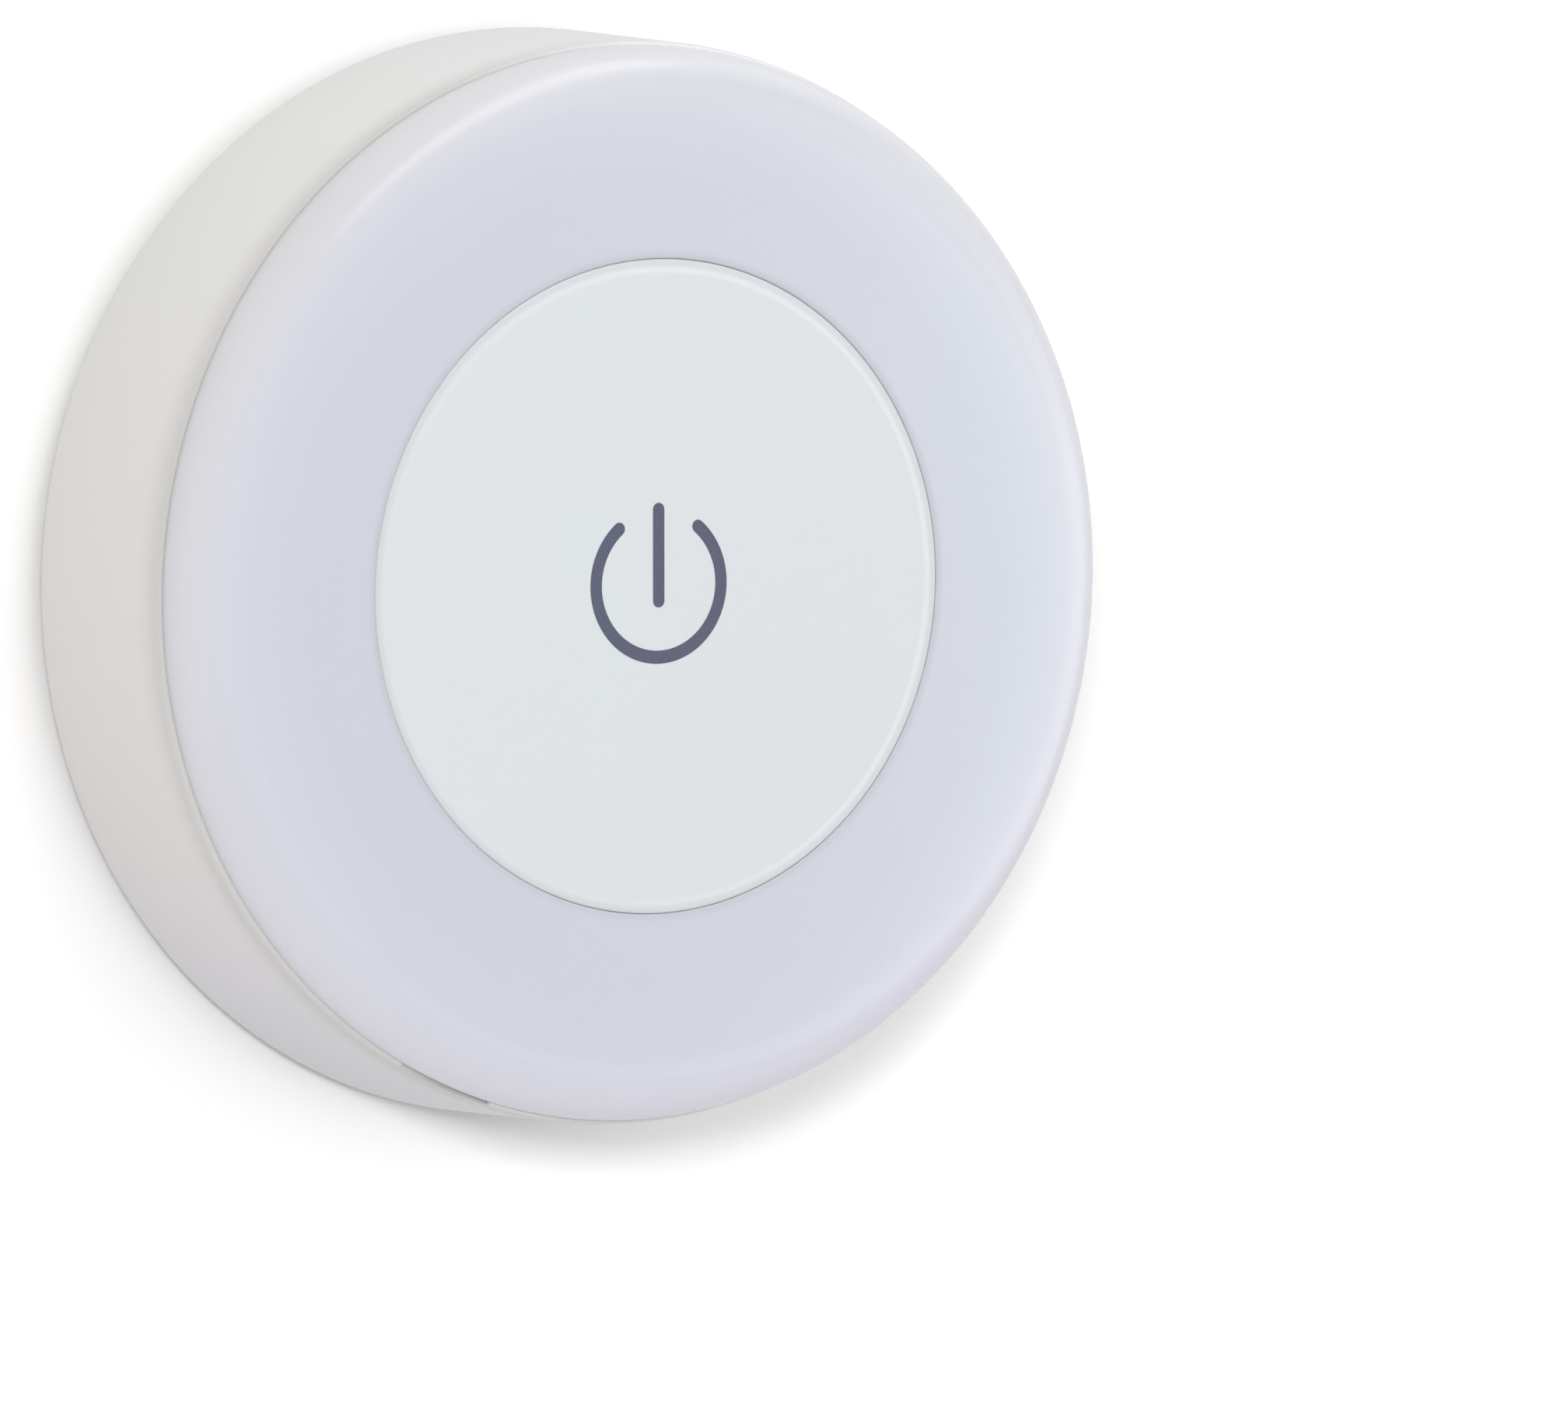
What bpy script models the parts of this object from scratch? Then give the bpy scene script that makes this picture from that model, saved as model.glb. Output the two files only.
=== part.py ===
"""Round battery night light for a wall.

A twist-off back cover is stuck to the wall by a foam pad. The lamp turns on it by three lugs. The lamp
holds three cells behind a deck, a round circuit board with a ring of lights in front of it, a milky
diffuser ring, and a large push button in the middle that works a small switch.

The lamp is modelled lying on its back: local Z is the height above the wall, local Y is up the wall.
One turned frame then stands the whole lamp up, so that it faces -Y with the wall plane at Y = 0.
"""

import math

import bmesh
import bpy
from mathutils import Matrix, Vector

MM = 0.001

# Clearances and cutting
SEAT_GAP = 0.3 * MM  # between two pieces that rest on each other
RUNNING_GAP = 0.4 * MM  # round pieces that turn or slide in each other
JOIN_DEPTH = 0.5 * MM  # how far a rib or wall is rooted in what it grows from
CUT_OVERRUN = 1.0 * MM  # how far a cut runs past the face that it opens
WELD_DISTANCE = 0.0001 * MM

# Foam pad
PAD_RADIUS = 28.0 * MM
PAD_THICKNESS = 1.0 * MM

# Back cover
COVER_THICKNESS = 1.8 * MM
COVER_PAD_RECESS = 0.3 * MM
COVER_EDGE_BEVEL = 0.4 * MM
TAB_WALL = 1.4 * MM
TAB_GUSSET_REACH = 2.4 * MM
TAB_GUSSET_WIDTH = 1.2 * MM
LUG_COUNT = 3
LUG_REACH = 1.5 * MM
LUG_THICKNESS = 1.4 * MM
LUG_ARC = math.radians(14)

# Housing
LIP_RADIUS = 42.5 * MM
WALL_DRAFT = 0.5 * MM
HOUSING_WALL = 2.0 * MM
RIM_RECESS = 0.2 * MM
RIM_ROUND = 0.8 * MM
LIP_ROUND = 0.6 * MM
DECK_THICKNESS = 1.2 * MM
LEDGE_REACH = 1.6 * MM
LEDGE_THICKNESS = 1.4 * MM
LEDGE_ARC = math.radians(20)
BAY_WALL = 1.3 * MM
CRADLE_WIDTH = 1.0 * MM
CRADLE_HEIGHT = 3.0 * MM
CONTACT_POST_WIDTH = 1.4 * MM
CONTACT_POST_REACH = 1.5 * MM
RIB_THICKNESS = 1.2 * MM
RIB_FOOT_GAP = 0.8 * MM
SIDE_RIB_OFFSET = 9.0 * MM
BOSS_RADIUS = 2.6 * MM
BOSS_DEPTH = 4.0 * MM
BOARD_STANDOFF = 0.8 * MM
SNAP_GROOVE_DEPTH = 0.7 * MM

# Cells, as the AAA size is made
CELL_RADIUS = 5.25 * MM
CELL_LENGTH = 44.5 * MM
CELL_NUB_RADIUS = 1.9 * MM
CELL_NUB_HEIGHT = 0.9 * MM
CELL_SHOULDER_ROUND = 0.6 * MM
CELL_COUNT = 3
CELL_SPACING_GAP = 0.6 * MM
CELL_SLACK = 0.6 * MM

# Contacts
CONTACT_THICKNESS = 0.4 * MM
CONTACT_HEIGHT = 8.4 * MM
CONTACT_CORNER = 0.8 * MM
TAIL_WIDTH = 2.0 * MM
TAIL_PROUD = 0.6 * MM
CELL_SPRING_WIRE = 0.6 * MM
CELL_SPRING_LENGTH = 3.7 * MM
CELL_SPRING_INSET = 0.65 * MM
CELL_SPRING_NARROW_RADIUS = 2.6 * MM
CELL_SPRING_TURNS = 3

# Circuit board and what it carries
BOARD_EDGE_GAP = 0.5 * MM
BOARD_THICKNESS = 1.0 * MM
LIGHT_COUNT = 8
LIGHT_LENGTH = 3.5 * MM
LIGHT_WIDTH = 2.8 * MM
LIGHT_HEIGHT = 0.8 * MM
LIGHT_FRAME = 0.4 * MM
LIGHT_WELL_DEPTH = 0.25 * MM
RESISTOR_COUNT = 2
RESISTOR_LENGTH = 3.2 * MM
RESISTOR_WIDTH = 1.6 * MM
RESISTOR_HEIGHT = 0.6 * MM
RESISTOR_CIRCLE_RADIUS = 17.0 * MM
SCREW_CIRCLE_RADIUS = 28.0 * MM
SCREW_ANGLES = tuple(math.radians(angle) for angle in (60, 120, 240, 300))
SCREW_SHANK_RADIUS = 1.0 * MM
SCREW_SHANK_LENGTH = 5.6 * MM
SCREW_TIP_LENGTH = 1.0 * MM
SCREW_HEAD_RADIUS = 2.0 * MM
SCREW_HEAD_HEIGHT = 1.3 * MM
SCREW_HEAD_ROUND = 0.6 * MM

# Switch
SWITCH_SIDE = 6.0 * MM
SWITCH_HEIGHT = 2.4 * MM
SWITCH_BEVEL = 0.3 * MM
SWITCH_FLOOR = 0.7 * MM
PLUNGER_RADIUS = 1.6 * MM
SWITCH_LEG_WIDTH = 0.8 * MM
SWITCH_LEG_REACH = 1.1 * MM
SWITCH_LEG_HEIGHT = 0.4 * MM
SWITCH_LEG_SPACING = 4.5 * MM

# Push button
BUTTON_RADIUS = 25.3 * MM
BUTTON_GAP = 0.45 * MM
BUTTON_TRAVEL = 1.0 * MM
CAP_THICKNESS = 1.6 * MM
CAP_BEVEL = 0.45 * MM
CAP_RIM_DEPTH = 0.9 * MM
CAP_WALL = 1.2 * MM
CAP_BOSS_RADIUS = 1.5 * MM
CAP_BOSS_HEIGHT = 0.4 * MM
CAP_RIB_COUNT = 6
CAP_RIB_HEIGHT = 0.8 * MM
SPRING_SEAT_WALL = 0.8 * MM
SPRING_SEAT_HEIGHT = 0.8 * MM
LEG_COUNT = 4
LEG_ARC = math.radians(14)
HOOK_REACH = 1.3 * MM
HOOK_THICKNESS = 1.0 * MM
BUTTON_SPRING_WIRE = 0.6 * MM
BUTTON_SPRING_ROOM = 0.8 * MM
BUTTON_SPRING_TURNS = 3

# Diffuser ring
EDGE_ROUND = 4.0 * MM
LIP_SET_IN = 0.4 * MM
FACE_THICKNESS = 1.6 * MM
INNER_ROUND = 1.7 * MM
INNER_EDGE_ROUND = 0.3 * MM
COLLAR_WALL = 1.3 * MM
SKIRT_WALL = 1.4 * MM
SKIRT_DEPTH = 3.0 * MM
SNAP_COUNT = 4
SNAP_ARC = math.radians(12)
SNAP_REACH = 0.7 * MM
SNAP_HEIGHT = 1.0 * MM
SNAP_LIFT = 0.4 * MM

# How finely round pieces are made
LARGE_SEGMENTS = 80
MEDIUM_SEGMENTS = 48
CELL_SEGMENTS = 24
SMALL_SEGMENTS = 16
ROUND_STEPS = 2
EDGE_STEPS = 6
SPRING_POINTS_PER_TURN = 10
SPRING_BEVEL_RESOLUTION = 1
SMOOTH_BELOW = math.radians(35)
FULL_TURN = 2 * math.pi

# Heights above the wall, each worked out from what lies under it
PAD_FRONT = PAD_THICKNESS
COVER_RECESS_FLOOR = PAD_FRONT + SEAT_GAP
COVER_BACK = COVER_RECESS_FLOOR - COVER_PAD_RECESS
COVER_FRONT = COVER_BACK + COVER_THICKNESS
RIM_BACK = COVER_BACK + RIM_RECESS
LEDGE_BACK = COVER_FRONT + RUNNING_GAP
LEDGE_FRONT = LEDGE_BACK + LEDGE_THICKNESS
LUG_BACK = LEDGE_FRONT + SEAT_GAP
LUG_FRONT = LUG_BACK + LUG_THICKNESS
RIB_BACK = LUG_FRONT + RIB_FOOT_GAP
BAY_BACK = COVER_FRONT + CELL_SLACK
CELL_AXIS = BAY_BACK + CELL_RADIUS
DECK_BACK = CELL_AXIS + CELL_RADIUS + SEAT_GAP
DECK_FRONT = DECK_BACK + DECK_THICKNESS
BOSS_FRONT = DECK_FRONT + BOARD_STANDOFF
BOSS_BACK = DECK_BACK - BOSS_DEPTH
BOARD_BACK = BOSS_FRONT + SEAT_GAP
BOARD_FRONT = BOARD_BACK + BOARD_THICKNESS
ON_BOARD = BOARD_FRONT + SEAT_GAP
SWITCH_FRONT = ON_BOARD + SWITCH_HEIGHT
PLUNGER_FRONT = SWITCH_FRONT + BUTTON_TRAVEL
PLUNGER_BACK = ON_BOARD + SWITCH_FLOOR + BUTTON_TRAVEL + SEAT_GAP
CAP_BOSS_BACK = PLUNGER_FRONT + SEAT_GAP
CAP_BACK = CAP_BOSS_BACK + CAP_BOSS_HEIGHT
FACE_FRONT = CAP_BACK + CAP_THICKNESS
FACE_BACK = FACE_FRONT - FACE_THICKNESS
LEG_BACK = BOARD_FRONT + BUTTON_TRAVEL + SEAT_GAP
HOOK_FRONT = LEG_BACK + HOOK_THICKNESS
COLLAR_BACK = HOOK_FRONT + SEAT_GAP
FLANGE_BACK = FACE_FRONT - EDGE_ROUND
LIP_FRONT = FLANGE_BACK - SEAT_GAP
SKIRT_BACK = LIP_FRONT - SKIRT_DEPTH
SNAP_BACK = SKIRT_BACK + SNAP_LIFT
SNAP_FRONT = SNAP_BACK + SNAP_HEIGHT

# Radii and places that follow from the pieces that fit together
REAR_RADIUS = LIP_RADIUS + WALL_DRAFT
HOUSING_BORE = LIP_RADIUS - HOUSING_WALL
COVER_RADIUS = HOUSING_BORE - RUNNING_GAP
LEDGE_INNER_RADIUS = HOUSING_BORE - LEDGE_REACH
TAB_OUTER = LEDGE_INNER_RADIUS - RUNNING_GAP
TAB_INNER = TAB_OUTER - TAB_WALL
DIFFUSER_RADIUS = LIP_RADIUS - LIP_SET_IN
SKIRT_OUTER = HOUSING_BORE - RUNNING_GAP
SKIRT_INNER = SKIRT_OUTER - SKIRT_WALL
COLLAR_INNER = BUTTON_RADIUS + BUTTON_GAP
COLLAR_OUTER = COLLAR_INNER + COLLAR_WALL
BOARD_RADIUS = SKIRT_INNER - BOARD_EDGE_GAP
LIGHT_CIRCLE_RADIUS = (COLLAR_OUTER + BOARD_RADIUS) / 2
CELL_PITCH = 2 * CELL_RADIUS + CELL_SPACING_GAP
CELL_PLACES = tuple(
    (index - (CELL_COUNT - 1) / 2) * CELL_PITCH for index in range(CELL_COUNT)
)
BAY_HALF_LENGTH = (CELL_LENGTH + CELL_SPRING_LENGTH + 5 * SEAT_GAP) / 2 + CONTACT_THICKNESS
BAY_HALF_WIDTH = CELL_COUNT * CELL_PITCH / 2 + SEAT_GAP
CONTACT_OUTER = BAY_HALF_LENGTH - SEAT_GAP
CONTACT_INNER = CONTACT_OUTER - CONTACT_THICKNESS
CONTACT_WIDTH = CELL_PITCH - CONTACT_POST_WIDTH - 2 * SEAT_GAP
CELL_SPRING_WIDE_RADIUS = CONTACT_WIDTH / 2 - CELL_SPRING_INSET
SWITCH_CORNER = math.hypot(
    SWITCH_SIDE / 2 + SWITCH_LEG_REACH, (SWITCH_LEG_SPACING + SWITCH_LEG_WIDTH) / 2
)
BUTTON_SPRING_RADIUS = SWITCH_CORNER + BUTTON_SPRING_ROOM + BUTTON_SPRING_WIRE / 2
SCREW_PLACES = tuple(
    (SCREW_CIRCLE_RADIUS * math.cos(angle), SCREW_CIRCLE_RADIUS * math.sin(angle))
    for angle in SCREW_ANGLES
)


def clear_scene():
    for found in list(bpy.data.objects):
        bpy.data.objects.remove(found, do_unlink=True)


def material(name, colour, roughness, metallic=0.0):
    made = bpy.data.materials.new(name)
    made.use_nodes = True
    shader = made.node_tree.nodes["Principled BSDF"]
    shader.inputs["Base Color"].default_value = (*colour, 1.0)
    shader.inputs["Roughness"].default_value = roughness
    shader.inputs["Metallic"].default_value = metallic
    made.diffuse_color = (*colour, 1.0)
    return made


def frame(name, parent=None, turn=(0.0, 0.0, 0.0)):
    made = bpy.data.objects.new(name, None)
    bpy.context.scene.collection.objects.link(made)
    made.parent = parent
    made.rotation_euler = turn
    return made


def add_object(name, data, parent, surface=None):
    made = bpy.data.objects.new(name, data)
    bpy.context.scene.collection.objects.link(made)
    made.parent = parent
    if surface is not None:
        data.materials.append(surface)
    return made


def mesh_from(name, shape):
    bmesh.ops.remove_doubles(shape, verts=shape.verts, dist=WELD_DISTANCE)
    bmesh.ops.recalc_face_normals(shape, faces=shape.faces)
    data = bpy.data.meshes.new(name)
    shape.to_mesh(data)
    shape.free()
    return data


def smooth(made):
    made.data.shade_smooth()
    made.data.set_sharp_from_angle(angle=SMOOTH_BELOW)


def arc_points(centre, radius, start, end, steps):
    """Points of an arc in the outline plane, from one angle to another, both ends included."""
    angles = (start + (end - start) * step / steps for step in range(steps + 1))
    return [
        (centre[0] + radius * math.cos(angle), centre[1] + radius * math.sin(angle))
        for angle in angles
    ]


def turned_mesh(name, outline, segments):
    """An outline of radius and height, closed on itself or from axis to axis, turned round Z."""
    shape = bmesh.new()
    points = [shape.verts.new((radius, 0.0, height)) for radius, height in outline]
    edges = [shape.edges.new(pair) for pair in zip(points, points[1:])]
    on_axis = outline[0][0] == 0 and outline[-1][0] == 0
    if not on_axis:
        edges.append(shape.edges.new((points[-1], points[0])))
    bmesh.ops.spin(
        shape,
        geom=points + edges,
        cent=(0.0, 0.0, 0.0),
        axis=(0.0, 0.0, 1.0),
        angle=FULL_TURN,
        steps=segments,
        use_merge=True,
    )
    return mesh_from(name, shape)


def block_mesh(name, low, high):
    """A box between two corners."""
    shape = bmesh.new()
    size = Vector(high) - Vector(low)
    middle = (Vector(high) + Vector(low)) / 2
    bmesh.ops.create_cube(
        shape, size=1.0, matrix=Matrix.Translation(middle) @ Matrix.Diagonal((*size, 1.0))
    )
    return mesh_from(name, shape)


def rod_mesh(name, radius, low, high, segments, place=(0.0, 0.0)):
    """An upright cylinder at a place on the deck."""
    shape = bmesh.new()
    bmesh.ops.create_cone(
        shape,
        cap_ends=True,
        segments=segments,
        radius1=radius,
        radius2=radius,
        depth=high - low,
        matrix=Matrix.Translation((*place, (low + high) / 2)),
    )
    return mesh_from(name, shape)


def arc_block_mesh(name, inner, outer, low, high, start, end):
    """Part of a ring between two radii, two heights and two angles."""
    shape = bmesh.new()
    corners = ((inner, low), (outer, low), (outer, high), (inner, high))
    first = [
        shape.verts.new((radius * math.cos(start), radius * math.sin(start), height))
        for radius, height in corners
    ]
    face = shape.faces.new(first)
    steps = max(1, round(abs(end - start) / (FULL_TURN / LARGE_SEGMENTS)))
    bmesh.ops.spin(
        shape,
        geom=[face, *face.edges, *first],
        cent=(0.0, 0.0, 0.0),
        axis=(0.0, 0.0, 1.0),
        angle=end - start,
        steps=steps,
    )
    return mesh_from(name, shape)


def wedge_mesh(name, reach, heights, width):
    """A gusset along local X: upright at its first reach, sloping down to its second."""
    shape = bmesh.new()
    foot, floor, top = heights
    corners = (
        (reach[0], foot),
        (reach[1], foot),
        (reach[1], floor),
        (reach[0] - JOIN_DEPTH, top),
        (reach[0], top),
    )
    points = [shape.verts.new((along, -width / 2, height)) for along, height in corners]
    face = shape.faces.new(points)
    grown = bmesh.ops.extrude_face_region(shape, geom=[face])
    moved = [item for item in grown["geom"] if isinstance(item, bmesh.types.BMVert)]
    bmesh.ops.translate(shape, verts=moved, vec=(0.0, width, 0.0))
    return mesh_from(name, shape)


def helper(data, group, parent):
    """A shape that is joined to a piece or cut from it, and isn't a piece itself."""
    made = bpy.data.objects.new(data.name, data)
    group.objects.link(made)
    made.parent = parent
    made.hide_render = True
    made.display_type = "WIRE"
    return made


def group_of(name):
    made = bpy.data.collections.new(name)
    bpy.context.scene.collection.children.link(made)
    return made


def combine(made, group, operation):
    """Joins or cuts all shapes of a group in one step."""
    modifier = made.modifiers.new(f"{operation.lower()} {group.name}", "BOOLEAN")
    modifier.operation = operation
    modifier.operand_type = "COLLECTION"
    modifier.collection = group
    modifier.solver = "EXACT"
    modifier.use_self = True


def least_gap(points, wire, skip):
    """The smallest space between two stretches of one wire that are more than skip points apart."""
    nearest = min(
        (first - second).length
        for index, first in enumerate(points)
        for second in points[index + skip :]
    )
    return nearest - wire


def spring(name, start, direction, length, radii, turns, wire, parent, surface):
    """A coil spring along a direction, as one unbroken wire whose radius may run from wide to narrow."""
    along = Vector(direction).normalized()
    across = along.orthogonal().normalized()
    beside = along.cross(across)
    count = turns * SPRING_POINTS_PER_TURN
    points = []
    for index in range(count + 1):
        share = index / count
        angle = FULL_TURN * turns * share
        radius = radii[0] + (radii[1] - radii[0]) * share
        climb = wire / 2 + (length - wire) * share
        offset = across * math.cos(angle) + beside * math.sin(angle)
        points.append(Vector(start) + along * climb + offset * radius)
    data = bpy.data.curves.new(name, "CURVE")
    data.dimensions = "3D"
    data.bevel_depth = wire / 2
    data.bevel_resolution = SPRING_BEVEL_RESOLUTION
    data.use_fill_caps = True
    line = data.splines.new("POLY")
    line.points.add(count)
    for target, point in zip(line.points, points):
        target.co = (*point, 1.0)
    gap = least_gap(points, wire, SPRING_POINTS_PER_TURN - 1)
    print(f"{name}: least gap between its turns {gap / MM:.2f} mm")
    return add_object(name, data, parent, surface)


def make_foam_pad(parent, surface):
    outline = [(0.0, 0.0), (PAD_RADIUS, 0.0), (PAD_RADIUS, PAD_FRONT), (0.0, PAD_FRONT)]
    made = add_object("foam_pad", turned_mesh("foam_pad", outline, MEDIUM_SEGMENTS), parent, surface)
    smooth(made)


def make_back_cover(parent, surface):
    """A plate with a pocket for the pad, and tabs whose lugs reach over the housing's ledges."""
    pocket = PAD_RADIUS + RUNNING_GAP
    outline = [
        (0.0, COVER_RECESS_FLOOR),
        (pocket, COVER_RECESS_FLOOR),
        (pocket, COVER_BACK),
        (COVER_RADIUS - COVER_EDGE_BEVEL, COVER_BACK),
        (COVER_RADIUS, COVER_BACK + COVER_EDGE_BEVEL),
        (COVER_RADIUS, COVER_FRONT),
        (0.0, COVER_FRONT),
    ]
    made = add_object("back_cover", turned_mesh("back_cover", outline, LARGE_SEGMENTS), parent, surface)
    tabs = group_of("cover tabs")
    rooted = COVER_FRONT - JOIN_DEPTH
    for index in range(LUG_COUNT):
        middle = FULL_TURN * index / LUG_COUNT
        start = middle - LUG_ARC / 2
        end = middle + LUG_ARC / 2
        tab = arc_block_mesh("cover tab", TAB_INNER, TAB_OUTER, rooted, LUG_FRONT, start, end)
        helper(tab, tabs, parent)
        lug = arc_block_mesh(
            "tab lug", TAB_OUTER - JOIN_DEPTH, TAB_OUTER + LUG_REACH, LUG_BACK, LUG_FRONT, start, end
        )
        helper(lug, tabs, parent)
        gusset = wedge_mesh(
            "tab gusset",
            (TAB_INNER + JOIN_DEPTH, TAB_INNER - TAB_GUSSET_REACH),
            (rooted, COVER_FRONT, LUG_BACK),
            TAB_GUSSET_WIDTH,
        )
        gusset.transform(Matrix.Rotation(middle, 4, "Z"))
        helper(gusset, tabs, parent)
    combine(made, tabs, "UNION")
    smooth(made)


def housing_outline():
    """The wall with its deck, from the axis in front of the deck round to the axis behind it."""
    rear_centre = (REAR_RADIUS - RIM_ROUND, RIM_BACK + RIM_ROUND)
    lip_centre = (LIP_RADIUS - LIP_ROUND, LIP_FRONT - LIP_ROUND)
    groove = HOUSING_BORE + SNAP_GROOVE_DEPTH
    quarter = math.pi / 2
    return [
        (0.0, DECK_BACK),
        (HOUSING_BORE, DECK_BACK),
        (HOUSING_BORE, RIM_BACK),
        *arc_points(rear_centre, RIM_ROUND, -quarter, 0.0, ROUND_STEPS),
        *arc_points(lip_centre, LIP_ROUND, 0.0, quarter, ROUND_STEPS),
        (HOUSING_BORE, LIP_FRONT),
        (HOUSING_BORE, SNAP_FRONT + SEAT_GAP),
        (groove, SNAP_FRONT),
        (groove, SNAP_BACK - SEAT_GAP),
        (HOUSING_BORE, SNAP_BACK - SEAT_GAP),
        (HOUSING_BORE, DECK_FRONT),
        (0.0, DECK_FRONT),
    ]


def add_bay(group, parent):
    """The walls round the cells, the cradle ribs between them and the posts that part the contacts."""
    length = BAY_HALF_LENGTH
    width = BAY_HALF_WIDTH
    rooted = DECK_BACK + JOIN_DEPTH
    for side in (-1, 1):
        low = min(side * length, side * (length + BAY_WALL))
        end_wall = block_mesh(
            "bay end wall",
            (low, -width - BAY_WALL, BAY_BACK),
            (low + BAY_WALL, width + BAY_WALL, rooted),
        )
        helper(end_wall, group, parent)
        low = min(side * width, side * (width + BAY_WALL))
        side_wall = block_mesh(
            "bay side wall",
            (-length - BAY_WALL, low, BAY_BACK),
            (length + BAY_WALL, low + BAY_WALL, rooted),
        )
        helper(side_wall, group, parent)
    cradle_reach = length - CELL_SPRING_LENGTH - CONTACT_THICKNESS - CONTACT_POST_REACH
    for low_cell, high_cell in zip(CELL_PLACES, CELL_PLACES[1:]):
        middle = (low_cell + high_cell) / 2
        cradle = block_mesh(
            "cell cradle",
            (-cradle_reach, middle - CRADLE_WIDTH / 2, DECK_BACK - CRADLE_HEIGHT),
            (cradle_reach, middle + CRADLE_WIDTH / 2, rooted),
        )
        helper(cradle, group, parent)
    first, second, third = CELL_PLACES
    for side, place in ((-1, (first + second) / 2), (1, (second + third) / 2)):
        inner = side * (length - CONTACT_POST_REACH)
        outer = side * (length + JOIN_DEPTH)
        post = block_mesh(
            "contact post",
            (min(inner, outer), place - CONTACT_POST_WIDTH / 2, CELL_AXIS - CONTACT_HEIGHT / 2),
            (max(inner, outer), place + CONTACT_POST_WIDTH / 2, rooted),
        )
        helper(post, group, parent)


def rib(group, parent, start, end):
    """A stiffening rib behind the deck between two places on it."""
    first = Vector((*start, 0.0))
    run = Vector((*end, 0.0)) - first
    shape = bmesh.new()
    top = DECK_BACK + JOIN_DEPTH
    size = Vector((run.length, RIB_THICKNESS, top - RIB_BACK))
    middle = first + run / 2 + Vector((0.0, 0.0, (top + RIB_BACK) / 2))
    turn = Matrix.Rotation(math.atan2(run.y, run.x), 4, "Z")
    bmesh.ops.create_cube(
        shape, size=1.0, matrix=Matrix.Translation(middle) @ turn @ Matrix.Diagonal((*size, 1.0))
    )
    helper(mesh_from("deck rib", shape), group, parent)


def add_ribs_and_bosses(group, parent):
    reach = HOUSING_BORE + JOIN_DEPTH
    for side in (-1, 1):
        for offset in (-SIDE_RIB_OFFSET, SIDE_RIB_OFFSET):
            wall_x = math.sqrt(reach**2 - offset**2)
            start = (side * (BAY_HALF_LENGTH + BAY_WALL - JOIN_DEPTH), offset)
            rib(group, parent, start, (side * wall_x, offset))
        start = (0.0, side * (BAY_HALF_WIDTH + BAY_WALL - JOIN_DEPTH))
        rib(group, parent, start, (0.0, side * reach))
    for place in SCREW_PLACES:
        boss = rod_mesh("screw boss", BOSS_RADIUS, BOSS_BACK, BOSS_FRONT, SMALL_SEGMENTS, place)
        helper(boss, group, parent)
        outward = Vector(place).normalized()
        start = outward * (SCREW_CIRCLE_RADIUS + BOSS_RADIUS - JOIN_DEPTH)
        rib(group, parent, start, outward * reach)


def add_ledges(group, parent):
    """Ledges that the cover's lugs sit in front of, each with a stop at its locked end."""
    stop_start = LUG_ARC / 2 + RUNNING_GAP / HOUSING_BORE
    for index in range(LUG_COUNT):
        middle = FULL_TURN * index / LUG_COUNT
        ledge = arc_block_mesh(
            "bayonet ledge",
            LEDGE_INNER_RADIUS,
            HOUSING_BORE + JOIN_DEPTH,
            LEDGE_BACK,
            LEDGE_FRONT,
            middle - LEDGE_ARC / 2,
            middle + LEDGE_ARC / 2,
        )
        helper(ledge, group, parent)
        stop = arc_block_mesh(
            "lock stop",
            LEDGE_INNER_RADIUS,
            HOUSING_BORE + JOIN_DEPTH,
            LEDGE_FRONT - JOIN_DEPTH,
            LUG_FRONT,
            middle + stop_start,
            middle + LEDGE_ARC / 2,
        )
        helper(stop, group, parent)


def tail_slot(name, side, place, low, high):
    """The slot that a contact's tail passes through."""
    across = TAIL_WIDTH / 2 + SEAT_GAP
    inner = side * (CONTACT_INNER - SEAT_GAP)
    outer = side * (CONTACT_OUTER + SEAT_GAP)
    return block_mesh(
        name, (min(inner, outer), place - across, low), (max(inner, outer), place + across, high)
    )


TAILS = ((-1, CELL_PLACES[0]), (1, CELL_PLACES[-1]))


def make_housing(parent, surface):
    made = add_object("housing", turned_mesh("housing", housing_outline(), LARGE_SEGMENTS), parent, surface)
    added = group_of("housing walls")
    add_bay(added, parent)
    add_ribs_and_bosses(added, parent)
    add_ledges(added, parent)
    combine(made, added, "UNION")
    cuts = group_of("housing cuts")
    for place in SCREW_PLACES:
        low = ON_BOARD - SCREW_SHANK_LENGTH - SEAT_GAP
        pilot = rod_mesh(
            "screw pilot",
            SCREW_SHANK_RADIUS + SEAT_GAP,
            low,
            BOSS_FRONT + CUT_OVERRUN,
            SMALL_SEGMENTS,
            place,
        )
        helper(pilot, cuts, parent)
    for side, place in TAILS:
        slot = tail_slot("deck slot", side, place, DECK_BACK - CUT_OVERRUN, DECK_FRONT + CUT_OVERRUN)
        helper(slot, cuts, parent)
    combine(made, cuts, "DIFFERENCE")
    smooth(made)


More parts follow.
